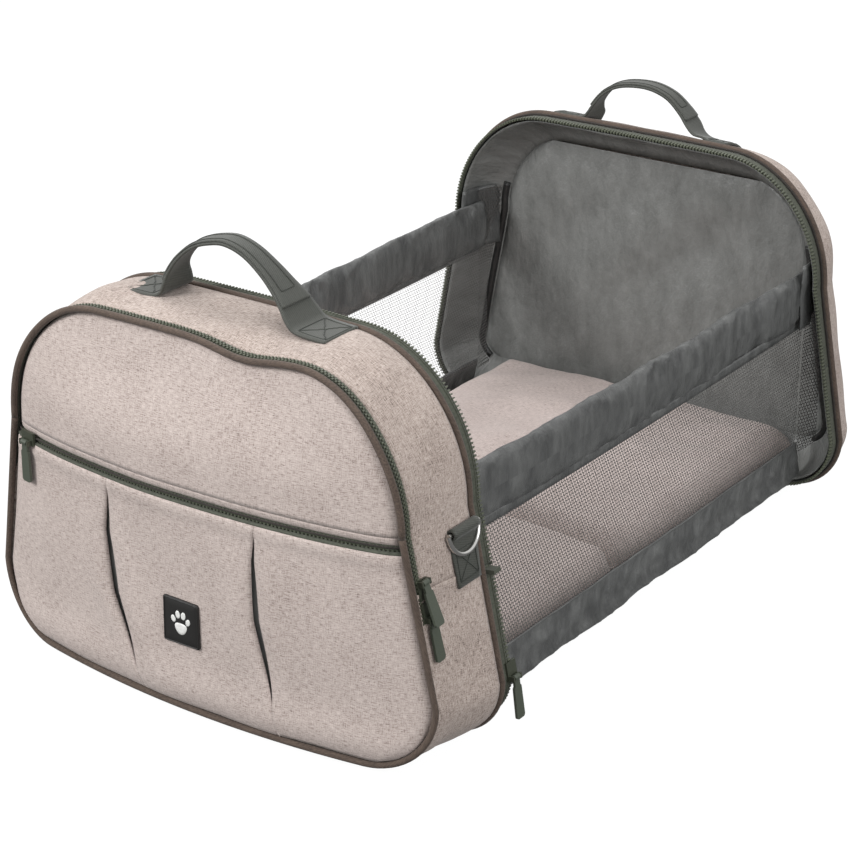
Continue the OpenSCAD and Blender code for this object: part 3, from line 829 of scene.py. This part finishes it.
def filled(o, s_of, rows=44, cols=56):
    """Cloth across an outline, as level rows."""
    z0, z1 = o[:, 1].min() + 0.05, o[:, 1].max() - 3.2
    z = z0 + (z1 - z0) * (1 - np.cos(np.linspace(0, math.pi, rows))) / 2
    right = o[: len(o) // 2 + 1]
    hw = np.interp(z, np.maximum.accumulate(right[:, 1] + np.arange(len(right)) * 1e-6), right[:, 0])
    hw[0] = right[right[:, 1] < z0 + 0.5, 0].max()
    x, zz = panel_grid(z, -hw, hw, cols)
    edge = np.minimum(hw[:, None] - np.abs(x), np.minimum(zz - z0, z1 - zz))
    return np.stack([x, s_of(x, zz, np.clip(edge, 0, None)), zz], 2)


def rear_face(x, z, e):
    """s of the padded back, e inside its edge: crowned and slightly uneven."""
    return 624.0 + 3.2 * (1 - np.exp(-e / 30)) + 0.8 * waves(x, z, 120, 21) * (1 - np.exp(-e / 20))


p = filled(drawn_in(REAR, 32.5), rear_face)
cloth = sheet_mesh("rear_back", p, M_SIDE, 2.0, -1, True, np.stack([p[:, :, 0], p[:, :, 2]], 2))
place(cloth, "rear_shell", "rear_panel")
ss = resample(lift(drawn_in(REAR, 33.5), 625.2), 4, True)
place(tube("rear_back_welt", ss, 1.6, M_SIDE, True, 8), "rear_shell")


def inside(o, body, rows, level, sgn, seed, names, cad):
    """Lining of a shell: puckered sides through rows, and slack cloth across the end at level."""
    p1 = loft(o, rows)
    girth = np.broadcast_to(AROUND, p1.shape[:2])
    along = p1[:, :, 1]
    pucker = 1.3 * waves(girth, along, 26, seed, 12, 0.4) + 0.8 * waves(girth, along, 70, seed + 1)
    pucker[:, -1] = pucker[:, 0]
    place_in_rows = np.arange(len(rows))
    ramp_in = np.clip(place_in_rows / 2, 0, 1) * np.clip((len(rows) - 1 - place_in_rows) / 2, 0, 1)
    nn = normals_out(o)
    nn = np.concatenate([nn, nn[:1]])
    p1 = p1 - nn[None] * (np.clip(pucker, -1.5, 2) * ramp_in[:, None])[:, :, None]
    a = sheet_mesh(names[0], p1, M_LINING, 1.0, sgn, sgn < 0, np.stack([girth, p1[:, :, 1]], 2))
    place(a, body, cad)

    def fold(x, z, e):
        slack = (1 - np.exp(-e / 25)) * (1 + 1.1 * smooth_step(z, 70, 140))
        slant = 1.2 * waves(x + 0.8 * z, 0.5 * z - 0.3 * x, 120, seed + 2, 8)
        across = waves(0.35 * (x + z), z - x, 90, seed + 3, 8)
        return level + sgn * (1.2 + slack * (slant + across))

    p2 = filled(drawn_in(o, rows[-1][1] - 1.5), fold)
    b = sheet_mesh(names[1], p2, M_LINING, 1.0, sgn, sgn < 0, np.stack([p2[:, :, 0], p2[:, :, 2]], 2))
    place(b, body)


REAR_LINING = [(R_TEETH + 3, 5.0), (570, 6.2), (577, 8.0), (584, 10.0), (591, 13.5), (598, 18.5), (604, 25.0),
               (608, 33.0)]
FRONT_LINING = [(S_TEETH - 3, 5.0), (72, 6.5), (66, 8.0), (60, 9.0), (52, 10.5), (44, 13.0), (38, 17.0),
                (34, 24.0), (32.5, 33.0)]
inside(REAR_RIM, "rear_shell", REAR_LINING, 608.3, -1, 5, ("rear_lining_side", "rear_lining_cloth"),
       "rear_lining")
inside(RIM, ROOT, FRONT_LINING, 32.3, 1, 6, ("front_lining_side", "front_lining_cloth"), "front_divider")

# ---------------------------------------------------------------- bed
RAIL_S0, RAIL_S1 = 34.0, 577.0
RAIL_X, RAIL_Z, RAIL_HALF_W, RAIL_HALF_H = 162.5, 174.0, 6.0, 22.0
NET_Z0, NET_Z1 = 36.0, 154.0
# half-width of the bed pads, height of their seam, and the round of the corners beside the crease
PAD_HALF, PAD_SEAM_Z, ROUND_W, ROUND_L = 153.5, 15.0, 27.0, 34.0


def squash_fabric(ob):
    tuple(row([0, 32, 0]))
    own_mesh(ob)


def ridges(u, v, size, seed, n=9, stretch=1.0):
    """Sharp-crested creases, about -1 to 1."""
    return 1.1 - 2.4 * np.abs(waves(u, v, size, seed, n, stretch)) ** 0.8


def rail(side):
    """Padded satin rail, creased most near its ends and middle, with the flat seam the net hangs from."""
    n, k = 340, 44
    s = np.linspace(RAIL_S0, RAIL_S1, n)[:, None]
    a = np.linspace(0, 2 * math.pi, k + 1)[None, :]
    ca, sa = np.cos(a), np.sin(a)
    cx = np.sign(ca) * np.abs(ca) ** 0.8 * RAIL_HALF_W
    cz = np.sign(sa) * np.abs(sa) ** 0.75 * RAIL_HALF_H
    sag = -2.5 * np.sin(math.pi * (s - RAIL_S0) / (RAIL_S1 - RAIL_S0))
    girth = np.where(a < math.pi, a, 2 * math.pi - a) * 18
    end = np.exp(-(s - RAIL_S0) / 60) + np.exp(-(RAIL_S1 - s) / 80) + 0.7 * np.exp(-(((s - 330) / 60) ** 2))
    seed = 31 if side > 0 else 37
    w = ridges(s, girth, 46, seed, 8, 0.9) * (0.35 + 0.75 * end)
    w = w + 0.5 * ridges(s, girth, 20, seed + 1, 8, 0.7) * (0.15 + end)
    w = w * np.sin(np.clip(girth / 54, 0, 1) * math.pi) ** 0.5
    x = RAIL_X + cx + 1.5 * w * np.sign(ca + 1e-9) * np.abs(ca) ** 0.5
    x = x + 1.6 * waves(s, 0 * s, 150, seed + 4, 5)
    zc = RAIL_Z + sag + cz + 0.9 * waves(s, 0 * s, 70, seed + 2, 6) * (sa > 0)
    p = np.stack([side * x, np.broadcast_to(s, x.shape), zc], 2)
    p[:, -1] = p[:, 0]
    tag = SIDES[side]
    uv = np.stack([np.broadcast_to(s, x.shape), np.broadcast_to(a * 18, x.shape)], 2)
    ob = sheet_mesh(f"rail_sleeve_{tag}", p, M_SATIN, uv=uv)
    weld(ob, 1e-6)
    cap_ends(ob)
    place(ob, ROOT, f"top_rail_{tag}")
    squash_fabric(ob)
    # flat seam under the padding, where the net is sewn in
    zs = 152.0 + sag[:, 0]
    tape = []
    for q in (-5.0, -2.0, 1.0, 3.0):
        tape.append(np.stack([np.full(n, side * (165.0 + 0.5 * math.cos(q))), s[:, 0], zs + q], 1))
    ob = sheet_mesh(f"rail_seam_{tag}", np.stack(tape), M_SATIN, 0.8, 0)
    place(ob, ROOT)
    squash_fabric(ob)


def net(side):
    s = np.linspace(RAIL_S0, RAIL_S1, 120)[None, :]
    z = np.linspace(NET_Z0, NET_Z1, 26)[:, None]
    sag = -2.0 * np.sin(math.pi * (s - RAIL_S0) / (RAIL_S1 - RAIL_S0)) * smooth_step(z, NET_Z0, NET_Z1)
    belly = np.sin(math.pi * (z - NET_Z0) / (NET_Z1 - NET_Z0))
    x = 164.6 + 0.9 * waves(s, z, 120, 41 + side) * belly + 0 * s
    p = np.stack([side * x, np.broadcast_to(s, x.shape), z + sag], 2)
    tag = SIDES[side]
    # the left net takes the lighter copy of the net colour, with its painted light
    ob = sheet_mesh(f"net_{tag}", p, M_NET if side > 0 else M_NET_FAR_PAINTED_LIGHT)
    place(ob, ROOT, f"mesh_{tag}")
    squash_fabric(ob)


def band(side):
    """Satin band from the net's foot down and round the edge of the floor."""
    n, k = 200, 26
    s = np.linspace(RAIL_S0, RAIL_S1, n)[None, :]
    q = np.linspace(0, 1, k)[:, None]
    z = np.interp(q[:, 0], [0, 0.75, 0.9, 1], [40, 7, 2.0, 1.2])[:, None]
    x = np.interp(q[:, 0], [0, 0.3, 0.75, 0.9, 1], [165.6, 168.5, 169.0, 164, 148])[:, None]
    w = ridges(s, q * 40, 40, 51 + side, 8, 0.6) + 0.5 * ridges(s, q * 40, 17, 55 + side, 8, 0.5)
    amp = 1.2 * np.sin(math.pi * np.clip(q, 0, 0.86) / 0.86)
    low = 1.4 * (waves(s, 0 * s, 90, 58 + side, 6) + 1.2)
    low = low * smooth_step(q, 0.6, 0.85) * (1 - smooth_step(q, 0.9, 1.0))
    p = np.stack([side * (x + amp * w), np.broadcast_to(s, w.shape), np.maximum(z + low + 0 * s, 1.0)], 2)
    tag = SIDES[side]
    ob = sheet_mesh(f"band_{tag}", p, M_SATIN, 0.8, 0, side < 0)
    place(ob, ROOT, f"bottom_band_{tag}")
    squash_fabric(ob)
    ss = np.linspace(RAIL_S0, RAIL_S1, 190)
    seam = np.stack([np.full_like(ss, side * 166.2), ss, 40.0 + 0.5 * waves(ss, 0 * ss, 60, 61)], 1)
    ob = tube(f"band_seam_{tag}", seam, 0.9, M_SATIN, False, 6)
    place(ob, ROOT)
    squash_fabric(ob)


for side in SIDES:
    rail(side)
    net(side)
    band(side)


def mattress(name, s0, s1, hinge, cad, seed):
    """Crowned foam slab in a cloth cover, thin at its edges and crease; it does not bend, and hinge has no
    effect.
    """
    n, m = 76, 64
    start, end = (tuple(row([0, at, 20])) for at in hinge)
    t = np.linspace(0, 1, n)[:, None]
    s = s0 + (s1 - s0) * (t - 0.06 * np.sin(2 * math.pi * t) / (2 * math.pi) * 2)
    u = np.linspace(-1, 1, m)[None, :]
    # corners beside the middle crease are round, so the folded pad clears the top of the shells
    near = np.clip(1 - np.abs(s - S_MID) / ROUND_L, 0, 1)
    half = PAD_HALF - ROUND_W * (1 - np.sqrt(1 - near**2))
    x = half * np.sin(u * math.pi / 2)
    front_edge = np.minimum(s - s0, s1 - s)
    side_edge = half - np.abs(x)
    d = np.minimum(side_edge + 0 * s, front_edge + 0 * x)
    prof = 1 - np.clip(1 - d / 24.0, 0, 1) ** 2.4
    top = PAD_SEAM_Z + 29 * prof + 8.5 * np.cos(x / PAD_HALF * math.pi / 2) ** 0.7 * (1 - np.exp(-d / 45))
    top = top + 1.6 * waves(x + 0 * s, s + 0 * x, 100, seed) * np.clip(d / 40, 0, 1)
    top = top + 0.7 * waves(x + 0 * s, s + 0 * x, 36, seed + 1) * np.clip(d / 25, 0, 1)
    top = top + 0.9 * (ridges(0.4 * x + s, s - 0.6 * x, 90, seed + 3, 6) - 0.3) * np.clip(d / 50, 0, 1)
    bottom = PAD_SEAM_Z - 7.6 * prof
    X, S = x + 0 * s, s + 0 * x
    p_top = np.stack([X, S, top], 2)
    p_bot = np.stack([X, S, bottom], 2)
    a = sheet_mesh(name, p_top, M_BED, uv=np.stack([X, S], 2))
    b = sheet_mesh(name + "_under", p_bot, M_BED, flip=True, uv=np.stack([X, S], 2))
    ob = join(name, [a, b])
    weld(ob, 2e-5)
    place(ob, None, cad)
    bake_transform(ob)
    seam = [p_top[0, :, :], p_top[:, -1, :], p_top[-1, ::-1, :], p_top[::-1, 0, :]]
    path = np.concatenate([q[:-1] for q in seam])
    path = resample(path, 4.0, True)
    ob = tube(name + "_welt", path, 1.1, M_BED, True, 6)
    place(ob, None)
    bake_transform(ob)


mattress("bed_pad_front", 34.5, 321.6, (42, 80), "mattress_front", 71)
mattress("bed_pad_rear", 322.4, 606.5, (564, 602), "mattress_rear", 75)

# ---------------------------------------------------------------- webbing
def strap(name, path, width, side_dir, mat, thick=1.8, cols=9, on=None):
    """A flat strap along path, with its width and the direction of it at each point."""
    path = np.asarray(path, float)
    w = np.broadcast_to(width, len(path))[:, None, None]
    d = np.asarray(side_dir, float)
    d = d / np.linalg.norm(d, axis=1)[:, None]
    c = np.linspace(-0.5, 0.5, cols)[None, :, None]
    p = path[:, None] + w * c * d[:, None]
    if on:
        p = laid(p, on, 1.6)
    lay = np.concatenate([[0], np.cumsum(np.linalg.norm(np.diff(path, axis=0), axis=1))])
    uv = np.stack([np.broadcast_to(lay[:, None], p.shape[:2]), (w * c)[:, :, 0]], 2)
    return sheet_mesh(name, p, mat, thick, 0, False, uv)


def laid(p, surface, out):
    """Points of a handle's sewn ends laid on the shell under them, and its middle left as it is."""
    p = p.copy()
    k = smooth_step(np.abs(p[..., 0]), 56, 64)
    p[..., 2] = p[..., 2] * (1 - k) + (surface(p[..., 0], p[..., 1]) + out) * k
    return p


def spline(points, n):
    """Catmull-Rom through rows of control values."""
    pts = np.asarray(points, float)
    pts = np.vstack([2 * pts[0] - pts[1], pts, 2 * pts[-1] - pts[-2]])
    out = []
    for t in np.linspace(0, len(pts) - 3 - 1e-9, n):
        i = int(t)
        f = t - i
        a, b, c, d = pts[i : i + 4]
        square, cube = 2 * a - 5 * b + 4 * c - d, 3 * b - a - 3 * c + d
        out.append(0.5 * (2 * b + (c - a) * f + square * f * f + cube * f**3))
    return np.array(out)


# x, z, width, distance along the bag and twist in degrees, from the left end to the right
FRONT_HANDLE = [
    (-94, 289.3, 36, 0, 0), (-80, 289.8, 36, 0, 0), (-66, 290.4, 36, 0, 0), (-58, 294, 35, -1, 0),
    (-55.5, 301, 33, -2, 4), (-54, 310, 29, -2, 9), (-46, 321.5, 24, -1, 7), (-33, 331, 21, 0, 3),
    (-16, 336.5, 20, 0, 1), (-3, 337.5, 20, 0, 0), (12, 333, 20, 0, 0), (27, 323.5, 22, 0, 0),
    (39, 313.5, 26, 0, 0), (48, 305, 32, 0, 0), (54, 297.5, 36, 0, 0), (60, 292, 37, 0, 0),
    (70, 290.2, 37, 0, 0), (88, 289.6, 37, 0, 0)]
REAR_HANDLE = [
    (-90, 286.0, 32, 0, -18), (-78, 286.2, 32, 0, -18), (-66, 286.6, 32, 0, -17),
    (-58.5, 289.0, 30, -1, -10), (-56, 294, 27, -2, 0), (-53, 301, 24, -2, 5), (-44, 312, 20, -1, 4),
    (-28, 320, 18, 0, 2), (-3, 322.5, 18, 0, 0), (17, 317.5, 18, 0, 0), (31, 307, 20, 0, 0),
    (40, 297, 25, 0, -4), (46, 289.6, 30, 0, -14), (52, 286.8, 32, 0, -18), (62, 286.4, 32, 0, -18),
    (80, 286.0, 32, 0, -18)]


def handle(tag, body, s0, ctrl, nodes, on=None):
    """A webbing handle with a folded grip; the stitching on its sewn ends goes with the shell."""
    q = spline(ctrl, 150)
    path = np.stack([q[:, 0], s0 + q[:, 3], q[:, 1]], 1)
    tw = np.radians(q[:, 4])
    t, _, _ = frames(path, False, Y)
    d = Y[None] * np.cos(tw)[:, None] + np.cross(t, Y) * np.sin(tw)[:, None]
    up = np.cross(d, t)
    up *= np.sign(np.sum(up * np.array([0, 0, 1.0]), 1))[:, None]
    z0 = ctrl[0][1]
    ends = (tuple(row([0, s0, z0 + 4])), tuple(row([0, s0, z0 + 28])))

    def part(ob, cad=()):
        place(ob, None, cad)
        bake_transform(ob)

    part(strap(f"handle_{tag}_strap", path, q[:, 2], d, M_WEB, 2.0, 13, on), nodes)
    # the grip is folded double and closed with a long stitched box
    high = np.nonzero(q[:, 1] > z0 + 14)[0]
    part(strap(f"handle_{tag}_fold", (path + up * 1.8)[high], q[high, 2] * 0.93, d[high], M_WEB, 1.5, 9))
    m = high[8:-8]
    top, aside = path + up * 2.8, d * q[:, 2:3] * 0.27
    loop = np.concatenate([(top + aside)[m], (top - aside)[m][::-1]])
    part(tube(f"handle_{tag}_stitch", resample(loop, 2.5, True), 0.35, M_THREAD, True, 6))
    # box and cross stitches on both sewn ends
    for side, x0, x1 in (("l", ctrl[0][0] + 3, -66.5), ("r", 62.5, ctrl[-1][0] - 3)):
        w = 0.41 * ctrl[0][2]
        obs = []
        box = [(x0, -w), (x1, -w), (x1, w), (x0, w), (x0, -w)]
        for k, ln in enumerate([box, [(x0, -w), (x1, w)], [(x0, w), (x1, -w)]]):
            pts = resample(np.array([(a, b, 0) for a, b in ln], float), 2.0)
            raised = 50 * (np.abs(path[:, 2] - z0) > 6)
            near = np.array([np.argmin(np.abs(path[:, 0] - a) + raised) for a in pts[:, 0]])
            b = pts[:, 1:2].copy()
            pts = path[near] + d[near] * b + up[near] * 1.1
            if on:
                pts = laid(pts, on, 2.7)
            obs.append(tube(f"st_{tag}{side}{k}", pts, 0.35, M_THREAD, False, 6))
        place(join(f"handle_{tag}_box_{side}", obs), body)


handle("front", ROOT, 46, FRONT_HANDLE, ["handle_patches_front", "handle_front"])
handle("rear", "rear_shell", 598, REAR_HANDLE, ["handle_patches_rear", "handle_rear"],
       rear_top)

SLOPE = (FOOT_HALF - SHOULDER_HALF) / (SHOULDER_Z - FOOT_Z)
LEAN = math.atan(SLOPE)


def on_side(side, s, z, local):
    """Local x outward, y along the bag, z up the slope, as in the frame."""
    q = np.asarray(local, float)
    x = FOOT_HALF - (z - FOOT_Z) * SLOPE + q[..., 0] * math.cos(LEAN) - q[..., 2] * math.sin(LEAN)
    zz = z + q[..., 0] * math.sin(LEAN) + q[..., 2] * math.cos(LEAN)
    return np.stack([side * x, s + q[..., 1], zz], -1)


# s and z of the D-rings' bars, and the length of the tabs below them
TAB_S, TAB_Z, TAB_L = 50.0, 170.0, 37.0


def dring_tab(side):
    tag = SIDES[side]
    # the strap comes up the gusset, goes round the bar and back down behind itself
    outer = [(x, 0, z) for x, z in [(-1.6, -TAB_L), (-1.4, -26), (-1.3, -13), (-0.6, -4)]]
    turn = np.radians(np.linspace(-60, 200, 18))
    loop = [(0.5 + 3.2 * math.cos(t), 0, 2 + 3.2 * math.sin(t)) for t in turn]
    back = [(-3.2, 0, -3), (-3.6, 0, -11), (-3.8, 0, -25), (-3.9, 0, -TAB_L)]
    q = spline(outer + loop + back, 90)
    width = 29 - 3 * smooth_step(-q[:, 2], 8, TAB_L)
    path = on_side(side, TAB_S, TAB_Z, q)
    ob = strap(f"ring_tab_{tag}", path, width, np.broadcast_to(Y, path.shape), M_WEB, 1.3, 9)
    place(ob, ROOT, f"dring_tab_{tag}")
    w, lo, hi = 10.5, 4 - TAB_L, -11
    obs = []
    box = [(-w, lo), (w, lo), (w, hi), (-w, hi), (-w, lo)]
    for k, ln in enumerate([box, [(-w, lo), (w, hi)], [(w, lo), (-w, hi)]]):
        pts = resample(on_side(side, TAB_S, TAB_Z, np.array([(-0.55, a, b) for a, b in ln])), 2.0)
        obs.append(tube(f"rt_{tag}{k}", pts, 0.4, M_THREAD, False, 6))
    place(join(f"ring_tab_{tag}_stitch", obs), ROOT)


for side in SIDES:
    dring_tab(side)


def rear_corner(side):
    """Piped stay in a rear corner, the net that runs back to it, and the loop that holds the rail's end."""
    tag = SIDES[side]
    zz = np.linspace(34, 208, 60)
    hw = half_width(drawn_in(REAR_RIM, 27.5), zz)
    post = np.stack([side * hw, 604.5 + 0.5 * waves(zz, 0 * zz, 60, 83), zz], 1)
    stay = tube(f"corner_stay_{tag}", post, 3.2, M_STAY, False, 12)
    place(stay, "rear_shell", "corner_stays" if side > 0 else ())
    z = np.linspace(30, 205, 40)[:, None]
    v = np.linspace(0, 1, 10)[None, :]
    xa, xb = 166.0, half_width(drawn_in(REAR_RIM, 24.5), z[:, 0])[:, None]
    x = xa + (np.minimum(xb, 172) - xa) * v + 1.2 * waves(z, v * 30, 60, 85) * v * (1 - v)
    p = np.stack([side * x, np.broadcast_to(577.5 + 24 * v, x.shape), np.broadcast_to(z, x.shape)], 2)
    ob = place(sheet_mesh(f"corner_net_{tag}", p, M_NET), "rear_shell")
    s = np.array([560, 566, 572, 577.5, 584, 594, 604])
    x = np.array([170.2, 170.8, 170.9, 170.6, 167.5, 163.5, 159.5])
    z = np.linspace(150, 206, 16)
    X, Z = np.meshgrid(x, z)
    S, _ = np.meshgrid(s, z)
    X = X + 0.8 * waves(S, Z, 24, 87, 8)
    ob = sheet_mesh(f"rail_loop_{tag}", np.stack([side * X, S, Z], 2), M_SATIN, 1.4, 0, side > 0)
    place(ob, "rear_shell")


for side in SIDES:
    rear_corner(side)

# ---------------------------------------------------------------- CAD pieces kept, with finishes
KEEP = {"dring_left": M_NICKEL, "dring_right": M_NICKEL, "zip_tabs": M_TAPE,
        "floor_board_front": M_BASE, "floor_board_rear": M_BASE}
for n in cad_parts:
    if "slider" in n:
        KEEP[n] = M_METAL
    if "pull" in n:
        KEEP[n] = M_PULL
for n, mat in KEEP.items():
    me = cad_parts[n].data
    me.materials.clear()
    me.materials.append(mat)

# ---------------------------------------------------------------- stage
cam_data = bpy.data.cameras.new("camera")
cam = bpy.data.objects.new("camera", cam_data)
bpy.context.scene.collection.objects.link(cam)
# the photograph's view: where it looks from, how far off in metres, its roll and its lens in mm
AZ, EL, DIST, ROLL = math.radians(35.92), math.radians(23.38), 1.91191, math.radians(-0.17)
LENS = 102.58602
back = Vector((math.sin(AZ) * math.cos(EL), -math.cos(AZ) * math.cos(EL), math.sin(EL)))
target = Vector(row([-10.74, 271.40, 121.04]))
cam.location = target + back * DIST
right = (-back).cross(Vector((0, 0, 1))).normalized()
upv = right.cross(-back)
across = right * math.cos(ROLL) + upv * math.sin(ROLL)
upright = -right * math.sin(ROLL) + upv * math.cos(ROLL)
cam.matrix_world = Matrix.Translation(cam.location) @ Matrix((across, upright, back)).transposed().to_4x4()
cam_data.sensor_width = 36
cam_data.lens = LENS
cam_data.shift_x = 0.0061
cam_data.shift_y = -0.0014
cam_data.clip_end = 50
bpy.context.scene.camera = cam


def area(name, loc, aim, size, power):
    d = bpy.data.lights.new(name, "AREA")
    d.shape = "DISK"
    d.size = size
    d.energy = power
    o = bpy.data.objects.new(name, d)
    bpy.context.scene.collection.objects.link(o)
    o.location = loc
    o.rotation_euler = (Vector(aim) - Vector(loc)).to_track_quat("-Z", "Y").to_euler()


area("key", (-1.3, -2.3, 1.7), (0, -0.1, 0.1), 1.2, 66)
area("fill", (2.6, -0.9, 1.3), (0, 0, 0.1), 1.6, 34)
area("top", (-0.5, 0.5, 2.6), (0, 0.1, 0), 1.4, 22)
world = bpy.data.worlds.new("world")
bpy.context.scene.world = world
world.use_nodes = True
wn = world.node_tree
bg = wn.nodes["Background"]
sky = node(wn, "ShaderNodeSeparateXYZ")
wn.links.new(node(wn, "ShaderNodeTexCoord").outputs["Generated"], sky.inputs[0])
bg.inputs[1].default_value = 0.9
height = math_node(wn, "ADD", math_node(wn, "MULTIPLY", sky.outputs[2], 0.5), 0.5)
wn.links.new(ramp(wn, height, [(0.42, (0.22,) * 3), (0.62, (1.0,) * 3)]), bg.inputs[0])
bpy.context.scene.view_settings.view_transform = "Standard"

floor_mat, nt, bs = tree("floor")
look(bs, Base_Color=(0.05, 0.05, 0.05, 1), Roughness=0.9, Emission_Color=(1, 1, 1, 1), Emission_Strength=0.97)
FLOOR_HALF, FLOOR_Z = 30, -0.0008
corners = [(x * FLOOR_HALF, y * FLOOR_HALF, FLOOR_Z) for x, y in ((-1, -1), (1, -1), (1, 1), (-1, 1))]
floor = finish_mesh("floor", corners, [(0, 1, 2, 3)], floor_mat)
floor.visible_diffuse = False
floor.visible_glossy = False
